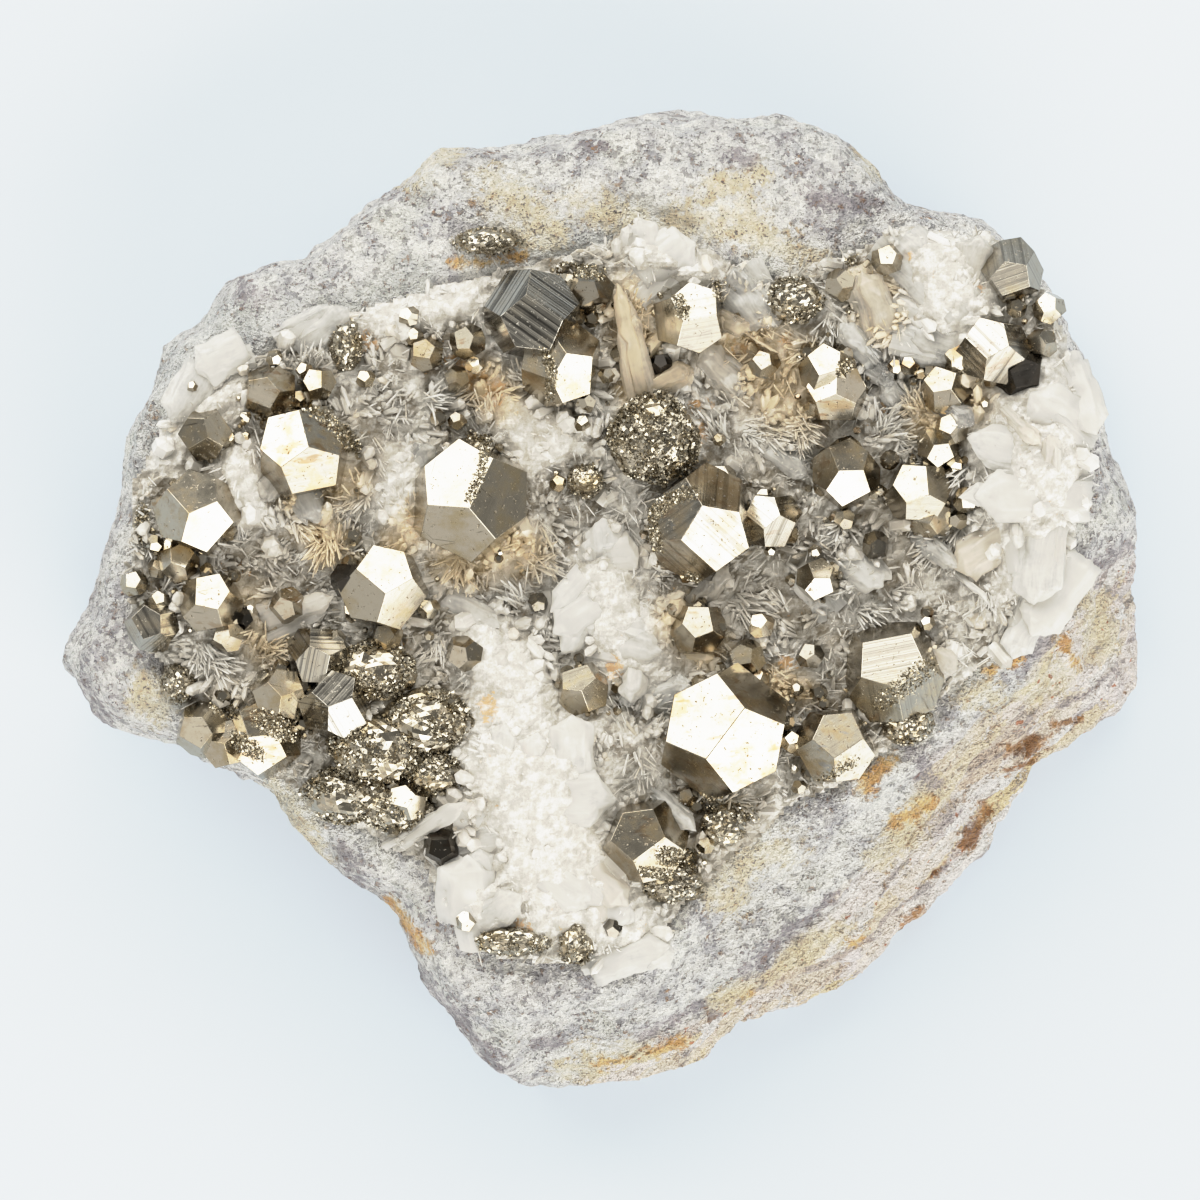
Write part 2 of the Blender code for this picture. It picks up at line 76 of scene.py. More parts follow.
class Number:
    """A number socket that Python's operators work on."""

    def __init__(self, tree, socket):
        self.tree = tree
        self.socket = socket

    def with_maths(self, operation, first, second):
        node = self.tree.nodes.new("ShaderNodeMath")
        node.operation = operation
        for slot, value in zip(node.inputs, (first, second)):
            if isinstance(value, Number):
                self.tree.links.new(value.socket, slot)
            else:
                slot.default_value = value
        return Number(self.tree, node.outputs[0])

    def __add__(self, other):
        return self.with_maths("ADD", self, other)

    __radd__ = __add__

    def __sub__(self, other):
        return self.with_maths("SUBTRACT", self, other)

    def __rsub__(self, other):
        return self.with_maths("SUBTRACT", other, self)

    def __mul__(self, other):
        return self.with_maths("MULTIPLY", self, other)

    __rmul__ = __mul__

    def size(self):
        return self.with_maths("ABSOLUTE", self, 0.0)

    def above(self, level):
        return self.with_maths("GREATER_THAN", self, level)


class Shader:
    """A material's or world's node tree, with one way to add any node."""

    def __init__(self, owner):
        owner.use_nodes = True
        self.tree = owner.node_tree
        self.tree.nodes.clear()

    def node(self, kind, settings=None, inputs=None, output=0):
        """Adds a node, sets it up, fills its sockets and returns one of its outputs. Three numbers for a
        colour are screen bytes."""
        made = self.tree.nodes.new(kind)
        for name, value in (settings or {}).items():
            if name == "stops":
                ramp = made.color_ramp
                while len(ramp.elements) < len(value):
                    ramp.elements.new(0.5)
                for element, (place, colour) in zip(ramp.elements, value):
                    element.position = place
                    element.color = (*byte_colour(*colour), 1.0)
            else:
                setattr(made, name, value)
        for name, value in (inputs or {}).items():
            slot = made.inputs[name]
            if isinstance(value, Number):
                self.tree.links.new(value.socket, slot)
            elif isinstance(value, bpy.types.NodeSocket):
                self.tree.links.new(value, slot)
            elif slot.type == "RGBA":
                slot.default_value = (*byte_colour(*value), 1.0)
            else:
                slot.default_value = value
        return made.outputs[output] if made.outputs else made

    def number(self, socket):
        return Number(self.tree, socket)

    def noise(self, vector, scale, detail, roughness):
        """Soft noise from 0 to 1 whose lumps are about 1 / scale metres."""
        return self.number(self.node("ShaderNodeTexNoise", {}, {
            "Vector": vector, "Scale": scale, "Detail": detail, "Roughness": roughness}))

    def channel(self, vector, output=0):
        """One of the three numbers of a vector or colour."""
        return self.number(self.node("ShaderNodeSeparateXYZ", {}, {"Vector": vector}, output))

    def cell_shade(self, vector, scale):
        """A number from 0 to 1 for each cell of a pattern whose cells are about 1 / scale metres."""
        return self.channel(self.node("ShaderNodeTexVoronoi", {}, {"Vector": vector, "Scale": scale}, 1))

    def steps(self, value, low, high, to_low=0.0, to_high=1.0):
        """Turns the range low..high of a value smoothly into to_low..to_high."""
        return self.number(self.node("ShaderNodeMapRange", {"interpolation_type": "SMOOTHSTEP"}, {
            "Value": value, "From Min": low, "From Max": high, "To Min": to_low, "To Max": to_high}))

    def blend(self, factor, first, second):
        """Mixes two colours."""
        return self.node("ShaderNodeMix", {"data_type": "RGBA"}, {0: factor, 6: first, 7: second}, 2)

    def lay_over(self, base, *coats):
        """Lays colours over a base one after another, each as strongly as the number before it says."""
        for strength, colour in coats:
            base = self.blend(strength, base, colour)
        return base

    def places(self):
        """The piece's own coordinates, in metres."""
        return self.node("ShaderNodeTexCoord", output=3)

    def attribute(self, name, output=2):
        found = self.node("ShaderNodeAttribute", {"attribute_name": name}, {}, output)
        return self.number(found) if output == 2 else found

    def bump(self, height, distance, strength=1.0):
        return self.node("ShaderNodeBump", {}, {
            "Height": height, "Distance": distance, "Strength": strength})

    def principled(self, sockets):
        return self.node("ShaderNodeBsdfPrincipled", {}, sockets)

    def mix(self, share, first, second):
        """Mixes two surfaces."""
        return self.node("ShaderNodeMixShader", {}, {0: share, 1: first, 2: second})

    def finish(self, surface):
        self.node("ShaderNodeOutputMaterial", {}, {"Surface": surface})


def new_material(name):
    material = bpy.data.materials.new(name)
    return material, Shader(material)


def deselect_all():
    for piece in bpy.context.selected_objects:
        piece.select_set(False)


def only(piece):
    """Makes a piece the only selected one, and the active one."""
    deselect_all()
    piece.select_set(True)
    bpy.context.view_layer.objects.active = piece


deselect_all()
bpy.ops.mesh.primitive_plane_add(size=6.0, location=(0, 0, 0))
floor = bpy.context.active_object
floor.name = "floor"
table_top, shader = new_material("table_top")
shader.finish(shader.principled({
    "Base Color": (160, 163, 166), "Roughness": 0.9, "Specular IOR Level": 0.1,
    "Emission Color": (188, 204, 217), "Emission Strength": 0.68}))
floor.data.materials.append(table_top)

# Soft boxes: direction round and angle from overhead of the middle, half width round and half height, all
# in degrees, and strength
SOFT_BOXES = [(106, 52, 42, 15, 5.3), (134, 74, 12, 10, 3.3), (297, 56, 27, 10, 8.2), (225, 80, 55, 14, 0.8),
              (225, 44, 26, 16, 1.2), (36, 58, 24, 14, 1.4), (308, 84, 36, 9, 4.4)]
SOFT_EDGE = 7
SURROUNDINGS = 0.25
world = bpy.data.worlds.new("studio")
bpy.context.scene.world = world
shader = Shader(world)
direction = shader.node("ShaderNodeTexCoord", output=0)


def along(axis):
    """How far the direction that the light comes from lies along an axis."""
    return shader.number(shader.node("ShaderNodeVectorMath", {"operation": "DOT_PRODUCT"},
                                     {0: direction, 1: tuple(axis)}, 1))


def warm_white(strength):
    return shader.node("ShaderNodeEmission", {}, {"Color": (255, 253, 246), "Strength": strength})


light = warm_white(SURROUNDINGS)
for turn, down, half_width, half_height, strength in SOFT_BOXES:
    turn, down = math.radians(turn), math.radians(down)
    centre = Vector((math.sin(down) * math.cos(turn), math.sin(down) * math.sin(turn), math.cos(down)))
    sideways = Vector((-math.sin(turn), math.cos(turn), 0))
    box, corner = strength, 1.0
    for axis, half in ((sideways, half_width), (centre.cross(sideways), half_height)):
        outer, inner = (math.sin(math.radians(half + edge)) for edge in (SOFT_EDGE, -SOFT_EDGE))
        box = shader.steps(along(axis).size(), inner, outer, 1, 0) * box
        corner -= outer ** 2
    # The box is worked out only for directions as near to its middle as its corners, which is quicker
    near = along(centre).above(math.sqrt(corner))
    box_light = shader.node("ShaderNodeMixShader", {}, {0: near, 2: warm_white(box)})
    light = shader.node("ShaderNodeAddShader", {}, {0: light, 1: box_light})
shader.node("ShaderNodeOutputWorld", {}, {"Surface": light})

camera_data = bpy.data.cameras.new("camera")
camera_data.sensor_width = SENSOR
camera_data.lens = SENSOR * (CAMERA_HEIGHT - OUTLINE_LEVEL) / FRAME_WIDTH
camera_data.clip_end = 20
camera = bpy.data.objects.new("camera", camera_data)
camera.location = (0, 0, CAMERA_HEIGHT)
bpy.context.scene.collection.objects.link(camera)
bpy.context.scene.camera = camera
view = bpy.context.scene.view_settings
view.view_transform = "Standard"
# The camera's tone curve: straight up to pale grey, then a soft shoulder, so that mirror faces stay cream
BRIGHTEST = 5.0
view.use_curve_mapping = True
tones = view.curve_mapping
tones.white_level = (BRIGHTEST, BRIGHTEST, BRIGHTEST)
curve = tones.curves[3]
for light_in, light_out in ((0.35, 0.35), (0.72, 0.71), (1.1, 0.90), (1.6, 0.965), (3.0, 0.985)):
    curve.points.new(light_in / BRIGHTEST, light_out)
curve.points[-1].location = (1.0, 1.0)
for point in curve.points:
    point.handle_type = "AUTO_CLAMPED"
tones.update()


# The rock: a slab of pale altered rock, white and grey, full of dark specks, with cream, ochre and rust
# stains and mauve-grey veins. It was broken from the wall of its pocket, so every side of it is a fracture.
# Places on the face are plan steps: px to the right and py towards the front, 1077 over its width.
STEP = 150 * MM / 1077
PLAN_MIDDLE = (599.5, 599.5)
ROCK_VOXEL = 0.62 * MM
FRACTURE_DEPTH = 0.62 * MM
RESTING_LAYER = 0.7 * MM
# The part of the slab under the druse: half sizes in mm of an oval
COVERED_OVAL = (58, 42)
HIDDEN_FACES_KEPT = 0.2

# Stains: half width in steps, then the line that each follows over the plan
STAINS = {
    "cream": [
        (34, [(496, 192), (540, 228)]), (24, [(575, 205), (642, 224)]), (28, [(668, 222), (745, 214)]),
        (26, [(750, 232), (806, 262)]), (20, [(716, 190), (756, 180)]), (26, [(140, 690), (160, 705)]),
        (30, [(700, 868), (780, 850)]), (24, [(712, 892), (735, 900)]), (20, [(965, 700), (990, 695)]),
        (22, [(276, 790), (322, 858)]), (20, [(585, 1058), (640, 1052)]), (12, [(712, 998), (735, 990)]),
        (20, [(795, 955), (835, 930)]), (20, [(405, 176), (452, 150)]), (14, [(860, 150), (876, 172)]),
        (16, [(560, 1066), (600, 1070)]), (26, [(1086, 600), (1104, 640)]), (24, [(880, 860), (930, 800)]),
        (24, [(1030, 690), (1060, 670)]),
    ],
    "ochre": [
        (9, [(456, 264), (522, 260)]), (9, [(1084, 392), (1086, 424)]), (10, [(1060, 640), (1072, 662)]),
        (10, [(985, 668), (1016, 660)]), (9, [(940, 676), (950, 676)]), (10, [(390, 900), (428, 948)]),
        (10, [(655, 1052), (680, 1042)]), (12, [(896, 818), (926, 800)]), (14, [(862, 782), (888, 760)]),
        (7, [(852, 942), (860, 938)]), (10, [(600, 1062), (622, 1060)]), (6, [(740, 1000), (752, 990)]),
    ],
    "rust": [
        (14, [(1008, 748), (1046, 740)]), (5, [(1050, 726), (1080, 718)]), (11, [(964, 846), (986, 806)]),
        (9, [(908, 926), (922, 908)]), (4, [(1006, 770), (1036, 760)]), (4, [(930, 880), (946, 860)]),
    ],
    "mauve": [
        (12, [(806, 200), (868, 206)]), (18, [(248, 292), (262, 298)]), (13, [(726, 158), (744, 162)]),
        (8, [(578, 148), (602, 148)]), (8, [(782, 138), (788, 138)]), (13, [(1125, 545), (1092, 568)]),
        (14, [(1092, 568), (1060, 600), (1036, 636), (1022, 668)]),
        (6, [(1122, 660), (1090, 692), (1058, 706)]), (9, [(832, 894), (790, 930), (744, 972)]),
        (9, [(640, 1036), (700, 1002)]), (11, [(540, 1040), (552, 1042)]), (8, [(712, 1016), (718, 1012)]),
        (17, [(908, 752), (930, 782)]), (15, [(82, 690), (104, 716)]),
        (13, [(414, 968), (466, 1024), (500, 1066)]), (12, [(344, 846), (360, 884)]),
    ],
    "vein_quartz": [
        (52, [(172, 470), (186, 380), (232, 330)]), (26, [(300, 330), (420, 280)]),
        (34, [(560, 250), (640, 235)]),
    ],
}


def on_plan(px, py, height=0.0):
    """The point in space over a place on the plan."""
    return Vector(((px - PLAN_MIDDLE[0]) * STEP, (PLAN_MIDDLE[1] - py) * STEP, height))


def mesh_points(piece, what="co"):
    """The places of all corners of a piece's mesh, or their normals, as an array."""
    points = np.empty(len(piece.data.vertices) * 3)
    piece.data.vertices.foreach_get(what, points)
    return points.reshape(-1, 3)


def move_points(piece, points):
    piece.data.vertices.foreach_set("co", points.ravel())
    piece.data.update()


def add_values(piece, name, values, level="POINT"):
    """Stores a number or a vector for each corner or each face of a mesh."""
    values = np.asarray(values, dtype=np.float32)
    kind, field = ("FLOAT", "value") if values.ndim == 1 else ("FLOAT_VECTOR", "vector")
    layer = piece.data.attributes.new(name, kind, level)
    layer.data.foreach_set(field, values.ravel())


def fine_noise(points, size, octaves, seed=0.0):
    """Fractal noise at each point, about -1 to 1, with lumps size metres across."""
    shift = Vector((seed, -seed, 2 * seed))
    return np.array([noise.fractal(Vector(p) / size + shift, 0.85, 2.1, octaves) for p in points])


def distance_to_line(points, line):
    """How far points lie from a line over the plan, in metres."""
    nearest = np.full(len(points), 1e9)
    corners = [np.array(on_plan(*corner))[:2] for corner in line]
    for start, end in zip(corners, corners[1:]):
        along = end - start
        share = np.clip((points[:, :2] - start) @ along / max(along @ along, 1e-12), 0, 1)
        nearest = np.minimum(nearest, np.linalg.norm(points[:, :2] - start - share[:, None] * along, axis=1))
    return nearest


def stain_strength(points, patches, wander):
    """How strongly a kind of stain colours each point, with wandering edges."""
    strength = np.zeros(len(points))
    for half_width, line in patches:
        inside = 1.3 - distance_to_line(points, line) / (half_width * STEP) + wander
        strength = np.maximum(strength, inside * 0.8)
    return np.clip(strength, 0, 1)


def finish_piece(piece, material, nodes=()):
    """Gives a piece its material and its body, and hides the solids that it stands for."""
    piece.data.materials.clear()
    piece.data.materials.append(material)
    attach(piece, "root")
    if nodes:
        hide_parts(*nodes)


def apply_modifier(piece, kind, **settings):
    """Shapes the active piece with a modifier and applies it."""
    modifier = piece.modifiers.new(kind.lower(), kind)
    for name, value in settings.items():
        setattr(modifier, name, value)
    bpy.ops.object.modifier_apply(modifier=modifier.name)


def select_corners(piece, chosen):
    """Opens a piece in edit mode with only the chosen corners of its mesh selected."""
    bpy.ops.object.mode_set(mode="EDIT")
    bpy.ops.mesh.select_mode(type="VERT")
    bpy.ops.mesh.select_all(action="DESELECT")
    bpy.ops.object.mode_set(mode="OBJECT")
    piece.data.vertices.foreach_set("select", chosen)
    bpy.ops.object.mode_set(mode="EDIT")


solid_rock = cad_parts["rock_matrix"]
rock = bpy.data.objects.new("rock", solid_rock.data.copy())
bpy.context.scene.collection.objects.link(rock)
only(rock)
bpy.ops.object.mode_set(mode="EDIT")
bpy.ops.mesh.select_all(action="SELECT")
bpy.ops.mesh.remove_doubles(threshold=1e-6)
bpy.ops.object.mode_set(mode="OBJECT")
apply_modifier(rock, "REMESH", mode="VOXEL", voxel_size=ROCK_VOXEL)
apply_modifier(rock, "SMOOTH", factor=0.6, iterations=4)

# What rests on the table or lies under the crystals keeps fewer faces
points = mesh_points(rock)
normals = mesh_points(rock, "normal")
hidden = (normals[:, 2] < -0.8) & (points[:, 2] < 3 * MM)
covered = np.hypot(points[:, 0] / COVERED_OVAL[0], points[:, 1] / COVERED_OVAL[1]) < MM
select_corners(rock, hidden | covered & (normals[:, 2] > 0))
bpy.ops.mesh.decimate(ratio=HIDDEN_FACES_KEPT)
bpy.ops.object.mode_set(mode="OBJECT")

points = mesh_points(rock)
normals = mesh_points(rock, "normal")
# The wall below the open face, front and right, is split along layers that run up to the right
WALL_EDGE = [
    (540, 1100), (600, 1052), (640, 1036), (700, 1002), (745, 972), (790, 932), (830, 895), (880, 830),
    (908, 785), (930, 745), (975, 712), (1010, 690), (1036, 640), (1062, 602), (1096, 566), (1135, 540),
    (1300, 470), (1300, 200), (600, 0), (0, 0), (0, 1200), (400, 1400),
]
LAYERS_RUN = math.radians(42)


def polar_edge(corners):
    """An outline over the plan as angles and distances from its middle."""
    return np.array(sorted((math.atan2(c.y, c.x) % math.tau, c.xy.length)
                           for c in (on_plan(*corner) for corner in corners))).T


def inside_edge(edge, x, y):
    """How far inside an outline a place is, in metres; negative outside it."""
    return np.interp(np.arctan2(y, x) % math.tau, *edge, period=math.tau) - np.hypot(x, y)


def along_layers(points, shrink=0.22):
    """Points turned so that x runs along the wall's layers, and squeezed along them."""
    cos, sin = math.cos(LAYERS_RUN), math.sin(LAYERS_RUN)
    return np.column_stack([(points[:, 0] * cos + points[:, 1] * sin) * shrink,
                            points[:, 1] * cos - points[:, 0] * sin, points[:, 2]])


def chipped(points, size):
    """How far each point is from the middle of its chip, from 0 to about 1."""
    return np.array([noise.voronoi(Vector(p) / size)[0][0] for p in points])


on_wall = -inside_edge(polar_edge(WALL_EDGE), points[:, 0], points[:, 1]) / (2.5 * MM)
on_wall = np.clip(on_wall + 0.6 * fine_noise(points, 4 * MM, 3, 12.0), 0, 1)
broken = fine_noise(points, 8 * MM, 4) * 0.7 + (0.45 - chipped(points, 3.4 * MM)) * 0.9
broken += fine_noise(points, 1.8 * MM, 2, 4.0) * 0.45 + (0.45 - chipped(points, 1.5 * MM)) * 0.5
split = -np.abs(fine_noise(along_layers(points), 2.6 * MM, 4, 8.0)) * 1.5
split += fine_noise(along_layers(points), 5 * MM, 2, 3.0) * 0.7
split += (0.45 - chipped(along_layers(points, 0.5), 2.2 * MM)) * 1.0
resting = np.clip((points[:, 2] - 0.6 * MM) / (2 * MM), 0, 1)
moved_out = broken * (1 - 0.5 * on_wall) + (split + 0.3) * 1.5 * on_wall
points += normals * (moved_out * FRACTURE_DEPTH * resting)[:, None]
points[:, 2] = np.where(points[:, 2] < RESTING_LAYER, 0.0, points[:, 2])
low, high = np.array(solid_box[0]), np.array(solid_box[1])
points = np.clip(points, low, high)
move_points(rock, points)
wander = 0.5 * fine_noise(points, 4 * MM, 4, 2.0)
for kind, patches in STAINS.items():
    add_values(rock, kind, stain_strength(points, patches, wander))
add_values(rock, "wall", on_wall)
rock.data.shade_smooth()

rock_material, shader = new_material("altered_rock")
place = shader.places()
wall = shader.attribute("wall")
turned = shader.node("ShaderNodeMapping", {}, {"Vector": place, "Rotation": (0.0, 0.0, -LAYERS_RUN)})
layered = shader.node("ShaderNodeMapping", {}, {"Vector": turned, "Scale": (0.25, 1.0, 0.8)})
cloud = shader.noise(place, 230, 4, 0.66)
grainy = shader.noise(place, 900, 3, 0.7)
fine_grain = shader.noise(place, 2600, 2, 0.7)
patch = shader.noise(place, 120, 3, 0.62)
streak = shader.noise(layered, 460, 4, 0.66)


def warped(place, first, second, third, reach):
    """A place moved about by three noises, so that the cells over it get ragged edges."""
    push = shader.node("ShaderNodeCombineXYZ", {}, {"X": first, "Y": second, "Z": third})
    return shader.node("ShaderNodeVectorMath", {"operation": "MULTIPLY_ADD"}, {
        0: push, 1: (reach, reach, reach), 2: place})


# The face is an even mix of grains, each white, cream, grey or dark; the wall is a mix of larger fragments
grain_shade = shader.cell_shade(warped(place, grainy, fine_grain, cloud, 1.6 * MM), 1450)
fragment_shade = shader.cell_shade(warped(layered, cloud, streak, grainy, 3.4 * MM), 330)
face_rock = shader.lay_over(
    shader.blend(shader.steps(cloud, 0.38, 0.64), (251, 249, 244), (198, 197, 201)),
    (shader.steps(patch, 0.54, 0.62) * 0.5, (172, 168, 174)),
    (shader.steps(patch, 0.34, 0.46, 1, 0) * 0.5, (228, 228, 217)),
    (shader.steps(grain_shade, 0.62, 0.96) * 0.6, (114, 112, 120)),
    (shader.steps(grain_shade, 0.02, 0.34, 1, 0) * 0.75, (254, 252, 248)))
fragment_colours = [
    (0.0, (252, 249, 246)), (0.24, (254, 245, 240)), (0.40, (246, 233, 214)),
    (0.52, (242, 224, 186)), (0.62, (250, 241, 238)), (0.78, (226, 218, 218)),
    (0.90, (248, 230, 210)), (1.0, (178, 171, 176))]
wall_rock = shader.lay_over(
    shader.node("ShaderNodeValToRGB", {"stops": fragment_colours}, {"Fac": fragment_shade}),
    (shader.steps(streak, 0.56, 0.63) * 0.6, (152, 144, 150)),
    (shader.steps(streak, 0.28, 0.42, 1, 0) * 0.6, (253, 250, 247)),
    (shader.steps(grain_shade, 0.6, 1.0) * 0.35, (164, 153, 150)))
upward = shader.channel(shader.node("ShaderNodeNewGeometry", output=1), 2)
# Steep sides are laid over with grey brown: painted shade on the sides, which turn away from the light
# overhead
base = shader.lay_over(
    shader.blend(wall, face_rock, wall_rock),
    (shader.steps(upward, 0.2, 0.65, 1, 0) * shader.steps(patch, 0.4, 0.6) * 0.2, (206, 197, 189)),
    (shader.attribute("vein_quartz") * 0.5, (214, 217, 214)))
uneven = (grainy - 0.5) * 1.3 + (cloud - 0.5) * 1.1 + (fine_grain - 0.5) * 0.6 + (grain_shade - 0.5) * 0.5
for kind, colour, deep, strength in (
        ("cream", (246, 237, 214), (234, 218, 182), 0.75), ("mauve", (182, 174, 180), (138, 130, 136), 0.75),
        ("ochre", (234, 198, 132), (212, 160, 86), 0.9), ("rust", (186, 136, 78), (148, 100, 52), 0.92)):
    ragged = shader.steps(shader.attribute(kind) + uneven, 0.22, 0.95)
    shade = shader.blend(shader.steps(cloud, 0.4, 0.62), colour, deep)
    base = shader.blend(ragged * strength, base, shade)
specks = shader.steps(fine_grain * 0.7 + grainy * 0.3, 0.552, 0.60)
rust_dots = shader.steps(shader.noise(place, 620, 2, 0.5), 0.69, 0.73) * wall
base = shader.lay_over(
    base,
    (specks * shader.steps(cloud, 0.34, 0.6, 0.35, 0.85) * (1 - wall * 0.4), (96, 94, 101)),
    (rust_dots * 0.8, (186, 112, 66)))
relief = shader.bump(cloud * 0.9 + grainy * 1.6 + fine_grain + streak * wall * 2.0
                     + fragment_shade * wall * 0.5, 1.35 * MM)
shader.finish(shader.principled({
    "Base Color": base, "Roughness": shader.steps(grain_shade, 0.1, 0.8, 0.32, 0.85), "Normal": relief,
    "Specular IOR Level": 0.55}))
finish_piece(rock, rock_material, ["rock_matrix"])


# The druse bed: the crust of small quartz crystals that lines the open face, grey to brown, its browns partly
# painted shade and its dark spaces between the crystals that stand on it painted shade. It is grown onto the
# rock.
BED_HEIGHT = 33 * MM
BED_SPACING = 0.62 * MM
BED_UNDERSIDE = 29 * MM
DRUSE_OUTLINE = [
    (132, 620), (122, 560), (130, 500), (156, 450), (180, 402), (250, 362), (330, 322), (400, 300),
    (470, 278), (535, 262), (600, 244), (640, 222), (700, 246), (765, 280), (830, 262), (900, 232),
    (985, 236), (1050, 310), (1082, 400), (1086, 500), (1040, 580), (1000, 650), (935, 700), (875, 762),
    (795, 800), (736, 848), (690, 892), (640, 955), (560, 962), (470, 945), (425, 860), (335, 806),
    (270, 770), (195, 738), (185, 690), (150, 650),
]
MOUNDS = [
    (1040, 450, 90, 4.5), (950, 290, 80, 2.0), (540, 770, 90, 2.5), (390, 720, 90, 1.5),
    (700, 740, 120, 1.0), (600, 590, 90, -2.0), (740, 390, 70, -1.5), (650, 440, 55, 1.5),
    (230, 560, 70, -1.0), (620, 300, 70, 1.0), (510, 900, 80, 1.0), (860, 600, 70, -1.0),
]


def waves(x, y, size, layer=0.0):
    """Soft noise over the plan, from about -1 to 1, with lumps size metres across."""
    return noise.noise(Vector((x / size + layer, y / size - layer, 2 * layer)))


def bed_height(x, y):
    """Height of the druse at a place, without its crystals, as the solid has it."""
    height = BED_HEIGHT + 1.3 * MM * waves(x, y, 17 * MM) + 0.7 * MM * waves(x, y, 7 * MM, 3.0)
    for px, py, radius, rise in MOUNDS:
        away = (on_plan(px, py).xy - Vector((x, y))).length / (radius * STEP)
        height += rise * MM * math.exp(-away * away)
    return height


druse_edge = polar_edge(DRUSE_OUTLINE)


def inside_druse(x, y):
    """How far inside the druse's outline a place is, in metres; negative outside it."""
    return inside_edge(druse_edge, x, y)


druse_low, druse_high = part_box("quartz_01")
span = max(druse_high[0] - druse_low[0], druse_high[1] - druse_low[1])
deselect_all()
cuts = int(span / BED_SPACING)
bpy.ops.mesh.primitive_grid_add(x_subdivisions=cuts, y_subdivisions=cuts, size=span, location=(
    (druse_low[0] + druse_high[0]) / 2, (druse_low[1] + druse_high[1]) / 2, 0))
druse_bed = bpy.context.active_object
druse_bed.name = "druse_bed"
bpy.ops.object.transform_apply(location=True)
points = mesh_points(druse_bed)
margin = inside_druse(points[:, 0], points[:, 1]) + 1.2 * MM * fine_noise(points, 5 * MM, 3, 6.0)
select_corners(druse_bed, margin < -0.3 * MM)
bpy.ops.mesh.delete(type="VERT")
bpy.ops.mesh.select_all(action="SELECT")
bpy.ops.mesh.extrude_region_move(TRANSFORM_OT_translate={"value": (0, 0, -1.0)})
bpy.ops.mesh.select_all(action="SELECT")
bpy.ops.mesh.normals_make_consistent(inside=False)
bpy.ops.object.mode_set(mode="OBJECT")
points = mesh_points(druse_bed)
under = points[:, 2] < -0.5
margin = inside_druse(points[:, 0], points[:, 1])
ground = np.array([bed_height(x, y) for x, y in points[:, :2]])
facets = np.array([noise.voronoi(Vector((x, y, 0)) / (1.9 * MM))[0][0] for x, y, _ in points])
fine_facets = np.array([noise.voronoi(Vector((x, y, 5 * MM)) / (0.9 * MM))[0][0] for x, y, _ in points])
sunk = 1.3 * MM * np.clip(1 - margin / (3 * MM), 0, 1.4)
relief_height = (0.5 - facets) * 1.5 * MM + (0.5 - fine_facets) * 0.45 * MM
# Regions of the druse: radius in steps, then the line over the plan. Milky is white quartz, warm is stained
# yellow to brown, dusky is darker, partly where dark pyrite shows and partly painted shade of the deep spaces
# between the crystals
REGIONS = {
    "milky": [
        (62, [(1050, 400), (1040, 560)]), (64, [(520, 740), (560, 880)]), (38, [(596, 590), (636, 650)]),
        (40, [(600, 900), (640, 950)]), (30, [(465, 885), (480, 900)]), (40, [(940, 260), (960, 330)]),
        (30, [(650, 240), (690, 260)]), (30, [(520, 420), (540, 440)]), (26, [(240, 470), (250, 500)]),
        (30, [(480, 640), (520, 680)]), (26, [(400, 470), (400, 500)]), (40, [(160, 430), (200, 400)]),
        (30, [(340, 300), (460, 290)]),
    ],
    "warm": [
        (40, [(740, 340), (790, 390)]), (24, [(630, 300), (640, 390)]), (22, [(480, 380), (500, 400)]),
        (26, [(460, 560), (520, 550)]), (24, [(680, 620), (700, 640)]), (18, [(400, 540), (420, 520)]),
        (22, [(300, 490), (350, 480)]), (20, [(320, 530), (330, 545)]), (26, [(960, 400), (930, 420)]),
        (22, [(870, 290), (880, 320)]), (20, [(280, 700), (290, 710)]), (16, [(770, 680), (800, 690)]),
        (24, [(240, 600), (270, 640)]),
    ],
    "dusky": [
        (34, [(700, 590), (760, 600)]), (30, [(260, 560), (270, 620)]), (30, [(430, 650), (440, 620)]),
        (30, [(740, 820), (700, 850)]), (26, [(760, 480), (780, 540)]), (30, [(560, 330), (540, 400)]),
        (30, [(880, 520), (900, 560)]), (30, [(240, 690), (300, 660)]), (26, [(850, 700), (900, 720)]),
        (28, [(440, 840), (450, 820)]), (24, [(350, 430), (370, 450)]), (24, [(820, 640), (800, 620)]),
    ],
    "rusty": [
        (8, [(785, 340), (786, 346)]), (9, [(736, 352), (754, 350)]), (7, [(694, 402), (706, 405)]),
        (8, [(878, 408), (884, 414)]), (6, [(974, 288), (978, 292)]), (5, [(902, 252), (904, 258)]),
        (8, [(366, 342), (372, 350)]), (7, [(318, 536), (322, 544)]), (8, [(704, 428), (700, 436)]),
        (7, [(488, 388), (494, 396)]), (14, [(458, 366), (496, 392)]), (6, [(528, 746), (530, 752)]),
        (9, [(488, 702), (492, 712)]), (8, [(612, 660), (616, 684)]), (7, [(408, 524), (414, 530)]),
        (6, [(972, 544), (974, 548)]), (8, [(706, 640), (712, 660)]), (6, [(246, 566), (250, 572)]),
        (8, [(520, 920), (526, 926)]), (6, [(392, 640), (396, 648)]), (8, [(784, 660), (790, 664)]),
    ],
}


def region_strength(points, kind, softness=0.5):
    """How much each point belongs to a kind of region, with soft edges."""
    strength = np.zeros(len(points))
    for radius, line in REGIONS[kind]:
        away = distance_to_line(points, line) / (radius * STEP)
        strength = np.maximum(strength, np.clip((1 + softness - away) / (2 * softness), 0, 1))
    return strength


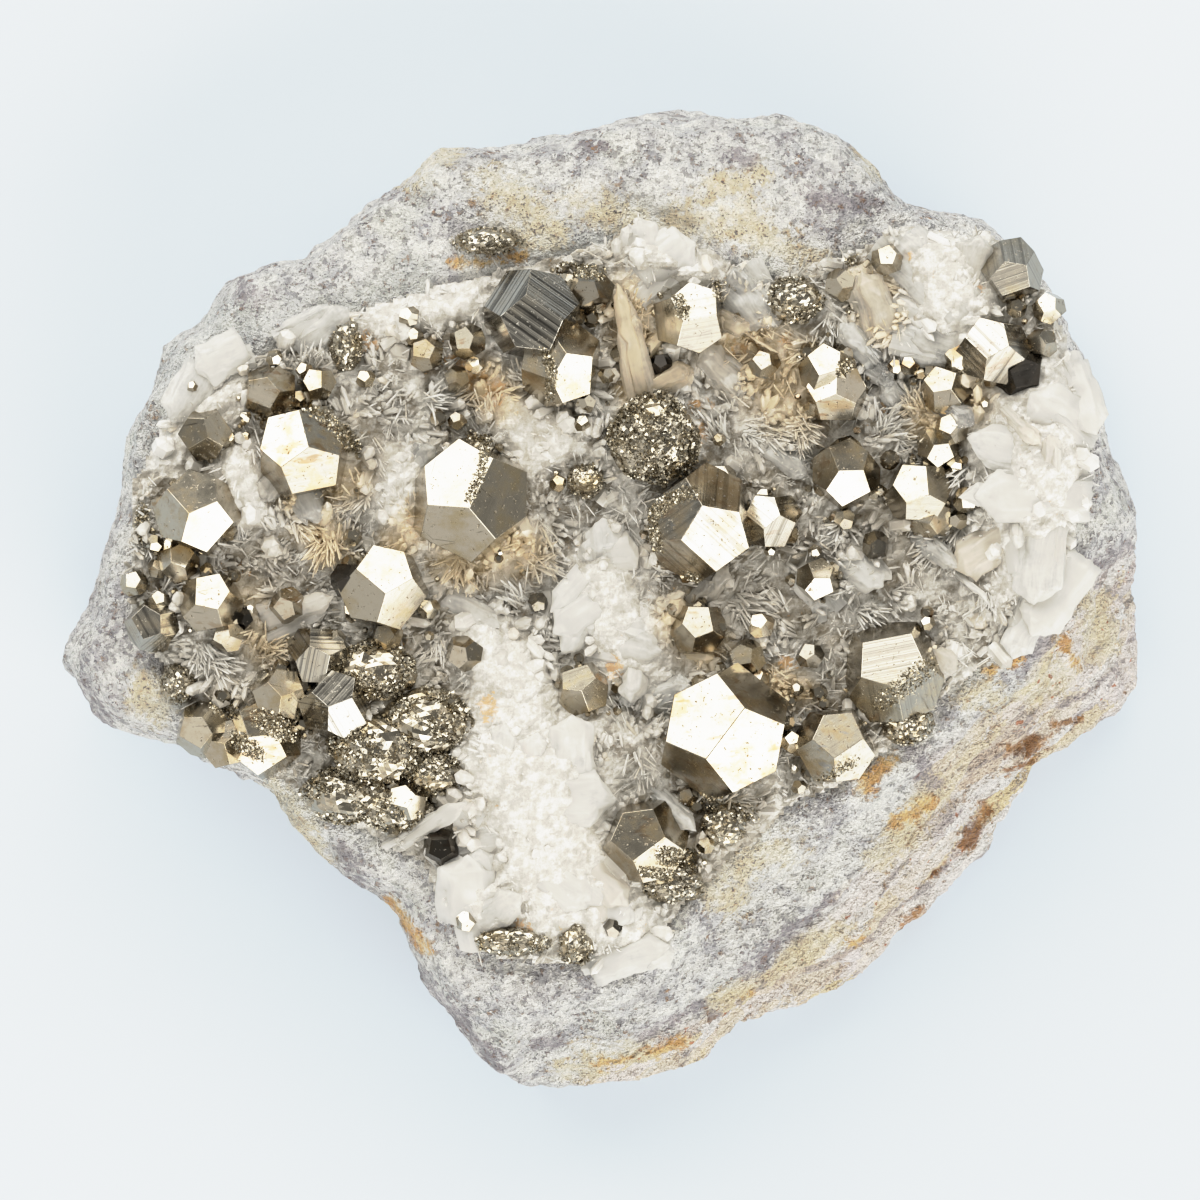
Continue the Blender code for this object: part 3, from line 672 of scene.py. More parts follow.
# Where the quartz is milky its crystals are grown together into one mass, which stands higher
massive = region_strength(points, "milky") ** 1.5 * np.clip(margin / (4 * MM), 0, 1)
relief_height = relief_height * (1 - 0.2 * massive) + 2.2 * MM * massive
points[:, 2] = np.where(under, BED_UNDERSIDE - sunk, ground + relief_height - 0.55 * MM - sunk)
points[:, 2] = np.minimum(points[:, 2], high[2] - 0.2 * MM)
move_points(druse_bed, points)
for kind in REGIONS:
    add_values(druse_bed, kind, region_strength(points, kind))

bed_material, shader = new_material("druse_crust")
place = shader.places()
patchy = shader.noise(place, 260, 4, 0.65)
wisps = shader.noise(place, 700, 3, 0.65)
tiny = shader.noise(place, 1700, 2, 0.6)
milky = shader.attribute("milky")
milky_crust = shader.blend(shader.steps(wisps, 0.35, 0.62), (222, 219, 214), (188, 184, 176))
# Painted shade: dark brown patches that stand in for the shade between the crystals, left out where the
# quartz is milky
painted_gap_shade = shader.steps(shader.noise(place, 520, 3, 0.6), 0.62, 0.70) * shader.steps(milky, 0.1, 0.6, 1, 0)
rusty = shader.steps(shader.attribute("rusty") + (tiny - 0.5) * 2.6 + (patchy - 0.5) * 2.0, 0.6, 0.9)
# The crust's grey to dark brown is partly its own colour and partly painted shade, darker than the crust is,
# for the shade under and between the crystals
base = shader.lay_over(
    shader.blend(shader.steps(patchy, 0.40, 0.62), (188, 184, 176), (116, 108, 94)),
    (shader.steps(wisps, 0.35, 0.52, 1, 0) * 0.5, (232, 230, 226)),
    (milky * 0.8, milky_crust),
    (shader.attribute("warm") * 0.5, (206, 182, 138)),
    # Dusky: darker where dark pyrite shows, and painted shade for the deep spaces between the crystals
    (shader.attribute("dusky") * 0.55, (124, 114, 96)),
    (painted_gap_shade * 0.6, (96, 86, 70)),
    (rusty * shader.steps(wisps, 0.3, 0.6, 0.15, 0.65), (196, 150, 88)))
relief = shader.bump(tiny, 0.3 * MM, 0.8)
shader.finish(shader.principled({
    "Base Color": base, "Roughness": shader.steps(tiny, 0.35, 0.65, 0.18, 0.5), "Normal": relief,
    "Specular IOR Level": 0.6}))
finish_piece(druse_bed, bed_material)


# The large pyrite crystals: twelve-sided natural crystals with faces of five edges, metallic, pale as old
# silver where they mirror the light and taupe where they don't, with fine growth lines along each face.
# They grew on and into the quartz. Each row: px, py, distance across two opposite faces (mm), the main
# face's tilt from level, the direction that it leans to and the one that its point shows to (degrees), and
# the height of the crystal's middle above the bed (mm).
PYRITE_CRYSTALS = [
    (723, 731, 15.9, 26, 143, 143, 2.6), (470, 500, 14.6, 30, 115, 155, 2.6),
    (700, 523, 13.4, 25, 312, 48, 1.4), (306, 453, 11.4, 35, 140, 195, 1.8),
    (532, 316, 11.3, 43, 45, 55, 2.2), (645, 838, 10.2, 15, 140, 127, 1.8),
    (201, 513, 10.1, 30, 303, 138, 1.8), (891, 671, 12.2, 19, 104, 281, 0.4),
    (832, 744, 9.4, 20, 67, 124, 1.8), (265, 738, 9.0, 40, 100, 20, 0.2), (385, 588, 10.6, 30, 88, 50, 0.4),
    (688, 318, 9.0, 25, 60, 100, 1.4), (834, 395, 7.5, 35, 40, 358, 1.8), (826, 373, 6.8, 30, 110, 30, 1.8),
    (990, 352, 8.5, 28, 120, 45, 1.2), (338, 705, 8.5, 50, 200, 80, 1.0),
    (561, 366, 10.0, 33, 319, 176, 1.4), (1008, 272, 7.5, 45, 80, 10, 0.8),
    (320, 655, 7.5, 60, 150, 35, 0.2), (205, 728, 6.5, 20, 200, 60, 0.4), (228, 742, 6.0, 35, 330, 15, 0.2),
    (280, 695, 6.8, 40, 60, 110, 0.4), (213, 602, 7.5, 25, 95, 358, 0.6),
    (208, 434, 6.5, 45, 270, 300, 0.8), (272, 393, 6.5, 20, 190, 70, 0.6),
    (1015, 373, 6.2, 65, 60, 30, 0.8), (844, 475, 8.2, 27, 281, 118, 1.4),
    (915, 492, 7.8, 22, 118, 185, 1.4), (582, 688, 6.5, 40, 240, 200, 0.8),
    (697, 628, 6.5, 50, 300, 90, 0.4), (155, 625, 6.2, 15, 150, 30, 0.8), (770, 520, 7.0, 30, 141, 51, 1.0),
    (925, 515, 5.5, 55, 250, 60, 0.5), (590, 290, 5.5, 50, 100, 0, 0.5), (944, 391, 6.2, 35, 122, 251, 0.8),
    (935, 450, 5.0, 45, 90, 30, 0.8), (180, 562, 5.0, 40, 260, 45, 0.5), (816, 580, 5.2, 38, 80, 20, 0.8),
    (408, 800, 5.0, 25, 140, 75, 0.5),
]


def crystal_turn(tilt, lean, point):
    """Rotation that turns the face (1, 0, 2) to a tilt and lean, with its point shown in one direction."""
    face = Vector((1, 0, 2)).normalized()
    tip = Vector((2, 0, -1)).normalized()
    tilt, lean, point = map(math.radians, (tilt, lean, point))
    normal = Vector((math.sin(tilt) * math.cos(lean), math.sin(tilt) * math.sin(lean), math.cos(tilt)))
    shown = Vector((math.cos(point), math.sin(point), 0))
    along = (shown - normal * normal.dot(shown)).normalized()
    own = Matrix((face, tip, face.cross(tip))).transposed()
    turned = Matrix((normal, along, normal.cross(along))).transposed()
    return turned @ own.transposed()


# The directions that the twelve faces look in
PYRITE_FACES = [face for a in (1, -1) for b in (1, -1)
                for face in ((2 * a, b, 0), (0, 2 * a, b), (b, 0, 2 * a))]


def model_pyrite(name, bevel):
    """Cuts a cube back to the twelve faces of a crystal one unit from its middle to each face."""
    deselect_all()
    bpy.ops.mesh.primitive_cube_add(size=4)
    crystal = bpy.context.active_object
    crystal.name = name
    bpy.ops.object.mode_set(mode="EDIT")
    for face in PYRITE_FACES:
        bpy.ops.mesh.select_all(action="SELECT")
        facing = Vector(face).normalized()
        bpy.ops.mesh.bisect(plane_co=facing, plane_no=facing, use_fill=True, clear_outer=True, threshold=1e-6)
    bpy.ops.mesh.select_all(action="SELECT")
    bpy.ops.mesh.remove_doubles(threshold=1e-4)
    bpy.ops.mesh.normals_make_consistent(inside=False)
    bpy.ops.object.mode_set(mode="OBJECT")
    if bevel:
        apply_modifier(crystal, "BEVEL", width=bevel, segments=2)
    return crystal


def growth_lines(normals):
    """For each face of an upright crystal, the direction across its growth lines."""
    across = []
    for normal in normals:
        x, y, z = max(PYRITE_FACES, key=lambda face: Vector(face).normalized().dot(normal))
        across.append((-y, x, 0) if z == 0 else (0, -z, y) if x == 0 else (z, 0, -x))
    return np.array(across) / math.sqrt(5)


OWN_PLACE_STEP = 7.3 * MM      # keeps the patterns of two copies apart


def joined_copies(name, model, placings, values, lines=False, fibres=False):
    """One mesh of many copies of a model: a 4 by 4 matrix and some named numbers for each copy."""
    places = np.array(placings)
    count = len(places)
    corners = mesh_points(model)
    mesh = model.data
    loops = np.empty(len(mesh.loops), int)
    starts = np.empty(len(mesh.polygons), int)
    mesh.loops.foreach_get("vertex_index", loops)
    mesh.polygons.foreach_get("loop_start", starts)
    moved = np.einsum("kij,nj->kni", places[:, :3, :3], corners) + places[:, None, :3, 3]
    joined = bpy.data.meshes.new(name)
    joined.vertices.add(count * len(corners))
    joined.vertices.foreach_set("co", moved.ravel())
    joined.loops.add(count * len(loops))
    joined.loops.foreach_set("vertex_index", (loops + np.arange(count)[:, None] * len(corners)).ravel())
    joined.polygons.add(count * len(starts))
    joined.polygons.foreach_set("loop_start", (starts + np.arange(count)[:, None] * len(loops)).ravel())
    joined.update(calc_edges=True)
    joined.shade_flat()
    piece = bpy.data.objects.new(name, joined)
    bpy.context.scene.collection.objects.link(piece)
    for key, numbers in values.items():
        add_values(piece, key, np.repeat(numbers, len(corners)))
    if fibres:
        sizes = np.linalg.norm(places[:, :3, :3], axis=1)
        own = corners[None] * sizes[:, None, :] + (np.arange(count) * OWN_PLACE_STEP)[:, None, None]
        add_values(piece, "own_place", own)
    if lines:
        across = growth_lines([polygon.normal for polygon in mesh.polygons])
        turned = np.einsum("kij,nj->kni", places[:, :3, :3], across)
        turned /= np.linalg.norm(turned, axis=2, keepdims=True)
        add_values(piece, "across", turned, "FACE")
    return piece


def pyrite_placing(row, unevenness=0.0):
    """Where a crystal stands, how it is turned and how large it is, as a matrix."""
    px, py, size, tilt, lean, point, lift = row
    place = on_plan(px, py)
    middle = Vector((place.x, place.y, bed_height(place.x, place.y) + lift * MM))
    stretch = [1 - unevenness * (1 + math.sin(px * 0.7 + axis * 2.1)) / 2 for axis in range(3)]
    scale = Matrix.Diagonal(Vector(stretch) * size / 2 * MM).to_4x4()
    return Matrix.Translation(middle) @ crystal_turn(tilt, lean, point).to_4x4() @ scale


pyrite_material, shader = new_material("pyrite")
place = shader.places()
across = shader.attribute("across", 1)
striated = shader.attribute("striated")
black = shader.attribute("black")
tone = shader.attribute("tone")
along_line = shader.number(shader.node("ShaderNodeVectorMath", {"operation": "DOT_PRODUCT"},
                                       {0: place, 1: across}, 1))
jitter = shader.noise(place, 300, 2, 0.6)
line_place = shader.node("ShaderNodeCombineXYZ", {}, {
    "X": along_line + jitter * 0.0002, "Y": tone * 3.0, "Z": 0.0})
lines = shader.noise(line_place, 1500, 2, 0.65)
broad_lines = shader.noise(line_place, 420, 2, 0.5)
tarnish = shader.noise(place, 240, 4, 0.65)
mottle = shader.noise(place, 900, 3, 0.7)
pits = shader.steps(shader.noise(place, 1700, 2, 0.7), 0.64, 0.71)
to_crack = shader.number(shader.node("ShaderNodeTexVoronoi", {"feature": "DISTANCE_TO_EDGE"},
                                     {"Vector": place, "Scale": 170}))
cracks = shader.steps(to_crack, 0.0, 0.012, 1, 0) * shader.steps(jitter, 0.56, 0.66)
drawn_out = shader.node("ShaderNodeMapping", {}, {
    "Vector": place, "Rotation": (0.3, 0.2, 0.9), "Scale": (0.3, 1.0, 1.0)})
smear = shader.noise(drawn_out, 420, 3, 0.65)
base = shader.lay_over(
    shader.blend(shader.steps(tarnish, 0.45, 0.72), (171, 164, 150), (162, 149, 122)),
    (tone * shader.steps(tarnish, 0.44, 0.66) * 0.45, (144, 118, 78)),
    (shader.steps(mottle, 0.6, 0.72) * 0.4, (150, 132, 104)),
    (pits * 0.7, (96, 82, 58)),
    (cracks * 0.8, (70, 58, 44)),
    (shader.steps(smear, 0.57, 0.66) * shader.steps(tone, 0.2, 0.7) * 0.6, (128, 96, 56)),
    (shader.steps(smear, 0.30, 0.38, 1, 0) * shader.steps(tone, 0.75, 0.95) * 0.5, (112, 128, 146)),
    # Ribbed crystals: neutral grey with near-black growth lines, the dark of the lines a painted reflection
    # along the ribs, whose relief is also bumped
    (striated * 0.6, (164, 162, 157)),
    (striated * shader.steps(lines, 0.5, 0.62) * 0.85, (66, 64, 61)),
    # Painted shade: whole crystals coloured near black for the dark surroundings that their faces mirror
    (black * 0.93, (44, 42, 42)))
relief = shader.bump(lines * (striated + 0.12) * 0.42 + broad_lines * (striated * 1.2 + 0.2) * 0.48
                     + (tarnish * 0.3 - pits) * 0.25, 0.1 * MM)
shader.finish(shader.principled({
    "Base Color": base, "Metallic": 1.0, "Normal": relief,
    "Roughness": shader.steps(tarnish, 0.3, 0.7, 0.10, 0.24) + pits * 0.3 + mottle * 0.06}))

# Crystals, by px and py, whose faces are ribbed with strong growth lines, their near-black lines a painted
# reflection along the ribs, and ones painted near black as painted shade for the dark reflections of their
# faces
STRIATED = {(532, 316): 1.0, (990, 352): 0.7, (338, 705): 0.9, (700, 523): 0.5, (155, 625): 0.7,
            (770, 520): 0.6, (688, 318): 0.3, (891, 671): 0.25, (320, 655): 0.8, (1008, 272): 0.5}
DARK_REFLECTION_PAINTED = {(1015, 373): 1.0, (352, 580): 1.0, (646, 858): 1.0, (442, 845): 0.85, (590, 290): 0.6,
         (245, 618): 0.9, (660, 365): 1.0, (808, 655): 0.6, (873, 545): 0.6, (612, 925): 0.8,
         (706, 572): 0.9, (538, 602): 0.8}


def crystal_values(rows):
    """The numbers that tell the pyrite's finish how each crystal differs."""
    return {"tone": chance.random(len(rows)),
            "striated": np.array([STRIATED.get(row[:2], 0.0) for row in rows]),
            "black": np.array([DARK_REFLECTION_PAINTED.get(row[:2], 0.0) for row in rows])}


pyrite_model = model_pyrite("pyrite_model", 0.010)
pyrite_nodes = sorted(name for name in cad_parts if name.startswith("pyrite"))
chance = np.random.default_rng(5)
owned = {name: [] for name in pyrite_nodes}
for row in PYRITE_CRYSTALS:
    middle = pyrite_placing(row).translation
    nearest = min(pyrite_nodes, key=lambda name: sum(
        max(lowest - own, 0, own - highest) for lowest, highest, own in zip(*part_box(name), middle)) * 100
        + (Vector(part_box(name)[0]) / 2 + Vector(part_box(name)[1]) / 2 - middle).length)
    owned[nearest].append(row)
for name, rows in owned.items():
    if rows:
        crystal = joined_copies(f"{name}_crystal", pyrite_model, [pyrite_placing(row, 0.04) for row in rows],
                                crystal_values(rows), lines=True)
        finish_piece(crystal, pyrite_material, [name])


# Massive pyrite: lumps of the same metal grown together from grains as fine as sugar, each with faces of its
# own, so that they glitter from bright to black. They sit in the quartz crust. Each row: px, py, half sizes
# along px and py, height above the bed (mm), and how many grains cover it.
PYRITE_LUMPS = [
    (375, 672, 6.2, 4.2, 2.2, 560), (428, 722, 6.4, 5.0, 2.4, 640), (378, 748, 6.6, 5.0, 3.0, 640),
    (352, 792, 6.4, 4.0, 2.0, 500), (398, 806, 5.2, 3.6, 1.8, 400), (438, 770, 4.6, 3.4, 1.6, 320),
    (652, 440, 6.4, 5.8, 3.4, 820), (585, 480, 2.8, 2.4, 1.4, 90), (792, 302, 4.2, 3.2, 1.6, 160),
    (347, 346, 2.4, 3.6, 1.6, 110), (512, 938, 5.4, 2.0, 1.6, 170), (575, 938, 2.6, 3.2, 1.4, 100),
    (670, 880, 4.6, 2.8, 1.4, 160), (180, 682, 2.4, 2.8, 1.2, 80), (487, 243, 4.6, 1.8, 1.2, 110),
    (722, 822, 3.2, 3.0, 1.2, 100), (905, 722, 3.6, 3.0, 1.2, 110),
]


def stacked(pieces):
    """The corners and faces of several pieces as one pair of lists."""
    corners, faces = [], []
    for piece in pieces:
        first = len(corners)
        corners.extend(corner.co.copy() for corner in piece.data.vertices)
        faces.extend([first + index for index in face.vertices] for face in piece.data.polygons)
    return corners, faces


def random_turn(chance):
    """A rotation drawn evenly from all rotations."""
    spin = chance.normal(size=4)
    spin /= np.linalg.norm(spin)
    x, y, z, w = spin
    return Matrix(((1 - 2 * (y * y + z * z), 2 * (x * y - z * w), 2 * (x * z + y * w)),
                   (2 * (x * y + z * w), 1 - 2 * (x * x + z * z), 2 * (y * z - x * w)),
                   (2 * (x * z - y * w), 2 * (y * z + x * w), 1 - 2 * (x * x + y * y))))


deselect_all()
bpy.ops.mesh.primitive_cone_add(vertices=4, radius1=1.25, depth=1.5)
grain_model = bpy.context.active_object
grain_model.name = "grain_model"


def uneven_scale(chance, size):
    """Scaling of a grain that comes out a little longer one way than the others."""
    half = size / 2
    return Matrix.Diagonal((half, half * chance.uniform(0.8, 1.2), half * chance.uniform(0.8, 1.2), 1))


def placed_grain(chance, spot, size):
    """A grain of a size at a spot, turned at random."""
    return Matrix.Translation(spot) @ random_turn(chance).to_4x4() @ uneven_scale(chance, size)


grain_material, shader = new_material("pyrite_grain")
place = shader.places()
tone = shader.attribute("tone")
worn = shader.noise(place, 700, 2, 0.6)
base = shader.blend(tone, (180, 174, 160), (150, 138, 114))
base = shader.blend(shader.steps(worn, 0.52, 0.66) * 0.6, base, (98, 88, 70))
shader.finish(shader.principled({
    "Base Color": base, "Metallic": 1.0, "Roughness": shader.steps(worn, 0.3, 0.7, 0.14, 0.34)}))

LUMP_FOOT = 2.0       # mm that a lump reaches down into the crust
GRAINS_PER_COUNT = {"lump": 3, "seam": 9}
grains, grain_tones = [], []
deselect_all()
bpy.ops.mesh.primitive_ico_sphere_add(subdivisions=4, radius=1.0)
ball = bpy.context.active_object
ball_points = mesh_points(ball)
lump_placings = []
for index, (px, py, half_x, half_y, rise, count) in enumerate(PYRITE_LUMPS):
    middle = on_plan(px, py)
    middle.z = bed_height(middle.x, middle.y) - 1.0 * MM
    sizes = Vector((half_x, half_y, rise + LUMP_FOOT)) * MM
    lump_placings.append(Matrix.Translation(middle) @ Matrix.Diagonal(sizes * 0.97).to_4x4())
    for _ in range(count * GRAINS_PER_COUNT["lump"]):
        way = Vector(chance.normal(size=3))
        way.z = abs(way.z) - 0.1
        way.normalize()
        swell = 1 + 0.20 * noise.noise(way * 1.7 + Vector((0, 0, index * 3.1)))
        spot = middle + Vector(way * sizes) * swell
        size = (0.20 + 0.48 * chance.random() ** 3.0) * MM
        grains.append(placed_grain(chance, spot, size))
        grain_tones.append(0.4 * chance.random())
# Seams and crusts of the same grains on the large crystals: half width in steps, line, how many grains
SEAMS = [
    (7, [(470, 436), (486, 448), (482, 474), (470, 502)], 110), (9, [(482, 440), (500, 446)], 40),
    (9, [(318, 412), (344, 432), (356, 448)], 110), (9, [(296, 402), (318, 410)], 40),
    (9, [(648, 520), (668, 500), (690, 492)], 120), (10, [(650, 530), (656, 548)], 50),
    (7, [(544, 352), (552, 372), (550, 400)], 90), (13, [(660, 852), (692, 858)], 120),
    (10, [(716, 288), (728, 300)], 60), (8, [(640, 868), (672, 872)], 60),
    (8, [(676, 300), (684, 318)], 50), (14, [(262, 716), (290, 732)], 120),
    (12, [(240, 736), (262, 756)], 90), (10, [(990, 240), (1030, 262)], 90),
    (6, [(686, 574), (712, 588)], 60), (10, [(560, 270), (600, 276)], 90),
    (8, [(838, 372), (846, 364)], 40), (8, [(838, 250), (850, 262)], 40),
    (10, [(862, 300), (850, 316)], 40), (12, [(800, 800), (850, 762)], 80),
    (14, [(880, 700), (930, 660)], 90), (12, [(700, 800), (750, 812)], 80),
    (10, [(400, 330), (420, 348)], 30), (10, [(216, 700), (236, 712)], 40),
    (12, [(140, 508), (152, 545)], 70),
]
standing = BVHTree.FromPolygons(*stacked([
    bpy.data.objects[f"{name}_crystal"] for name, rows in owned.items() if rows]))


def top_of(px, py):
    """The highest point of the large crystals and of the bed over a place on the plan."""
    above = on_plan(px, py, 2 * BED_HEIGHT)
    hit = standing.ray_cast(above, Vector((0, 0, -1)))[0]
    ground = bed_height(above.x, above.y)
    return max(hit.z if hit else 0.0, ground)


seam_grains = []
for half_width, line, count in SEAMS:
    ends = list(zip(line, line[1:]))
    for _ in range(count * GRAINS_PER_COUNT["seam"]):
        start, end = ends[chance.integers(len(ends))]
        share = chance.random()
        px = start[0] + (end[0] - start[0]) * share + chance.uniform(-0.7, 0.7) * half_width
        py = start[1] + (end[1] - start[1]) * share + chance.uniform(-0.7, 0.7) * half_width
        size = (0.16 + 0.34 * chance.random() ** 2.4) * MM
        spot = on_plan(px, py, top_of(px, py) - 0.12 * size)
        if inside_druse(spot.x, spot.y) > 1.5 * MM:
            seam_grains.append(placed_grain(chance, spot, size))

lumps = joined_copies("massive_pyrite", ball, lump_placings, {"tone": np.full(len(lump_placings), 0.3)})
points = mesh_points(lumps)
normals = mesh_points(lumps, "normal")
rough = fine_noise(points, 3 * MM, 3, 1.0) * 0.5 + fine_noise(points, 0.8 * MM, 2, 9.0) * 0.28
move_points(lumps, points + normals * (rough * MM)[:, None])
add_values(lumps, "across", [(1.0, 0.0, 0.0)] * len(lumps.data.polygons), "FACE")
finish_piece(lumps, pyrite_material, [name for name, rows in owned.items() if not rows])
sugar = joined_copies("pyrite_grains", grain_model, grains, {"tone": np.array(grain_tones)})
finish_piece(sugar, grain_material)
seams = joined_copies("pyrite_seams", grain_model, seam_grains, {"tone": chance.random(len(seam_grains))})
finish_piece(seams, grain_material)
bpy.data.objects.remove(ball)


# Small pyrite crystals: the same twelve-sided form, 1.4 to 4.6 mm across, dotted between the larger ones.
# Rows are as for the large crystals. The rest, 0.6 to 2.6 mm, are strewn round the large ones by chance.
SMALL_PYRITE = [
    (320, 385, 4.2, 40, 20, 0, 0.5), (955, 360, 3.8, 50, 10, 40, 0.8), (442, 845, 4.3, 65, 300, 10, 0.5),
    (845, 456, 4.4, 50, 90, 15, 1.2), (745, 657, 4.5, 20, 160, 100, 0.8), (465, 652, 4.3, 40, 0, 90, 1.0),
    (427, 355, 4.2, 18, 130, 80, 1.0), (468, 343, 4.2, 20, 150, 10, 1.0),
    (948, 430, 4.0, 22, 110, 140, 1.0), (838, 287, 3.8, 35, 200, 60, 0.8),
    (885, 262, 3.8, 20, 110, 10, 0.8), (1045, 310, 3.8, 25, 120, 30, 0.8),
    (388, 636, 3.8, 15, 150, 60, 0.8), (763, 365, 3.6, 20, 130, 40, 0.8), (230, 636, 3.8, 45, 30, 70, 0.6),
    (1038, 345, 3.6, 25, 200, 10, 0.8), (873, 545, 3.3, 60, 60, 20, 0.6), (457, 380, 3.0, 35, 160, 20, 0.9),
    (137, 583, 3.2, 20, 120, 0, 0.5), (760, 625, 3.2, 30, 130, 70, 0.8), (808, 655, 3.2, 55, 20, 50, 0.6),
    (962, 500, 3.0, 25, 320, 90, 0.8), (162, 600, 2.5, 20, 110, 30, 0.7), (430, 608, 2.5, 25, 140, 50, 0.7),
    (757, 677, 2.5, 30, 120, 10, 0.7), (788, 740, 2.6, 45, 200, 60, 1.0), (337, 640, 2.6, 20, 320, 20, 1.2),
    (467, 918, 2.6, 35, 130, 40, 0.8), (410, 318, 2.5, 30, 150, 70, 0.7), (415, 338, 2.2, 20, 120, 20, 0.7),
    (475, 366, 2.2, 25, 110, 40, 1.0), (276, 359, 2.0, 30, 310, 10, 0.6), (367, 380, 2.3, 25, 130, 60, 0.6),
    (795, 688, 1.6, 20, 120, 20, 0.8), (797, 785, 1.8, 30, 130, 60, 0.8), (195, 388, 1.4, 30, 120, 0, 0.5),
    (718, 440, 1.6, 20, 140, 30, 0.7), (907, 367, 2.4, 25, 120, 60, 0.7), (892, 368, 1.8, 50, 200, 20, 0.7),
    (352, 580, 4.6, 30, 250, 20, 1.4), (646, 858, 3.6, 20, 300, 50, 3.4), (612, 925, 2.4, 40, 20, 50, 1.0),
    (706, 572, 2.2, 30, 250, 10, 1.6), (538, 602, 2.4, 40, 60, 10, 0.8), (245, 618, 2.5, 60, 250, 20, 0.5),
    (458, 422, 2.2, 35, 120, 30, 1.2), (660, 365, 2.6, 60, 30, 20, 0.5), (705, 842, 2.3, 20, 140, 50, 0.8),
    (290, 605, 4.2, 20, 220, 40, 0.6), (720, 478, 3.4, 20, 120, 60, 0.4),
]
SMALL_COUNT = 430
small_rows = list(SMALL_PYRITE)
while len(small_rows) < SMALL_COUNT:
    host = PYRITE_CRYSTALS[chance.integers(len(PYRITE_CRYSTALS))]
    angle, away = chance.random() * math.tau, host[2] / 2 * MM / STEP * (0.85 + 0.9 * chance.random() ** 1.6)
    px, py = host[0] + away * math.cos(angle), host[1] + away * math.sin(angle)
    place = on_plan(px, py)
    crowded = region_strength(np.array([place]), "milky")[0] > 0.5
    if inside_druse(place.x, place.y) > 2 * MM and not crowded:
        size = 0.6 + 2.0 * chance.random() ** 2.2
        small_rows.append((px, py, size, chance.uniform(0, 60), chance.uniform(0, 360),
                           chance.uniform(0, 360), 0.3 + 0.5 * chance.random()))
small_model = model_pyrite("small_model", 0.0)
small = joined_copies("small_pyrite", small_model, [pyrite_placing(row) for row in small_rows],
                      crystal_values(small_rows), lines=True)
finish_piece(small, pyrite_material)


# Quartz crystals: six-sided prisms closed by six faces that meet in a point, glass clear to milky, from
# needles as thin as a hair to prisms of 8 mm. They grew out of the crust, the finer ones in tufts.
def model_quartz(name, slender):
    """One crystal, one unit long and wide, from a six-sided cylinder whose top is drawn to a point."""
    deselect_all()
    bpy.ops.mesh.primitive_cylinder_add(vertices=6, radius=0.5, depth=1 - slender,
                                        location=(0, 0, (1 - slender) / 2), end_fill_type="NGON")
    crystal = bpy.context.active_object
    crystal.name = name
    bpy.ops.object.transform_apply(location=True)
    bpy.ops.object.mode_set(mode="EDIT")
    bpy.ops.mesh.select_mode(type="FACE")
    bpy.ops.mesh.select_all(action="DESELECT")
    bpy.ops.object.mode_set(mode="OBJECT")
    for face in crystal.data.polygons:
        face.select = face.normal.z > 0.9
    bpy.ops.object.mode_set(mode="EDIT")
    bpy.ops.mesh.extrude_region_move(TRANSFORM_OT_translate={"value": (0, 0, slender)})
    bpy.ops.transform.resize(value=(0.02, 0.02, 1))
    bpy.ops.mesh.merge(type="CENTER")
    bpy.ops.object.mode_set(mode="OBJECT")
    return crystal


def laid_to(foot, tip, width, thickness):
    """Placing of a crystal whose foot is at one point and its tip at another, its flat side up."""
    along = tip - foot
    turn = along.to_track_quat("Z", "X").to_matrix().to_4x4()
    return Matrix.Translation(foot) @ turn @ Matrix.Diagonal((thickness, width, along.length, 1))


pyrite_middles = np.array([pyrite_placing(row).translation for row in PYRITE_CRYSTALS + SMALL_PYRITE])
pyrite_radii = np.array([row[2] / 2 * MM for row in PYRITE_CRYSTALS + SMALL_PYRITE])
lump_middles = np.array([placing.translation for placing in lump_placings])
lump_sizes = np.array([[row[2], row[3], row[4] + LUMP_FOOT] for row in PYRITE_LUMPS]) * MM


def clear_of_pyrite(foot, tip, closeness=0.92):
    """True if a crystal from foot to tip doesn't run deep into a pyrite crystal or lump."""
    for share in (0.35, 0.7, 1.0):
        spot = np.array(foot.lerp(tip, share))
        if (np.linalg.norm(pyrite_middles - spot, axis=1) < pyrite_radii * closeness).any():
            return False
        if (np.linalg.norm((lump_middles - spot) / lump_sizes, axis=1) < 1.0).any():
            return False
    return True


def tuft(made, chance, px, py, spread, count, longest, widest, lean, wander, steepness, slimmest=0.5):
    """Adds the crystals of one tuft, which spread from one place, to a list: spread in plan steps, longest
    and widest in mm, lean, wander and steepness in degrees."""
    for _ in range(count):
        away, where = spread * math.sqrt(chance.random()), chance.random() * math.tau
        foot = on_plan(px + away * math.cos(where), py + away * math.sin(where))
        if inside_druse(foot.x, foot.y) < 0.8 * MM:
            continue
        foot.z = bed_height(foot.x, foot.y) - 0.8 * MM
        heading = math.radians(lean) + chance.normal(0, math.radians(wander))
        steep = math.radians(chance.uniform(*steepness))
        length = longest * chance.uniform(0.45, 1.0) * MM
        tip = foot + length * Vector((math.cos(steep) * math.cos(heading),
                                      math.cos(steep) * math.sin(heading), math.sin(steep)))
        width = widest * chance.uniform(slimmest, 1.0) * MM
        if clear_of_pyrite(foot, tip) and tip.z + 0.5 * width < high[2] - 0.2 * MM:
            made.append((foot, tip, width, width * chance.uniform(0.7, 1.0)))


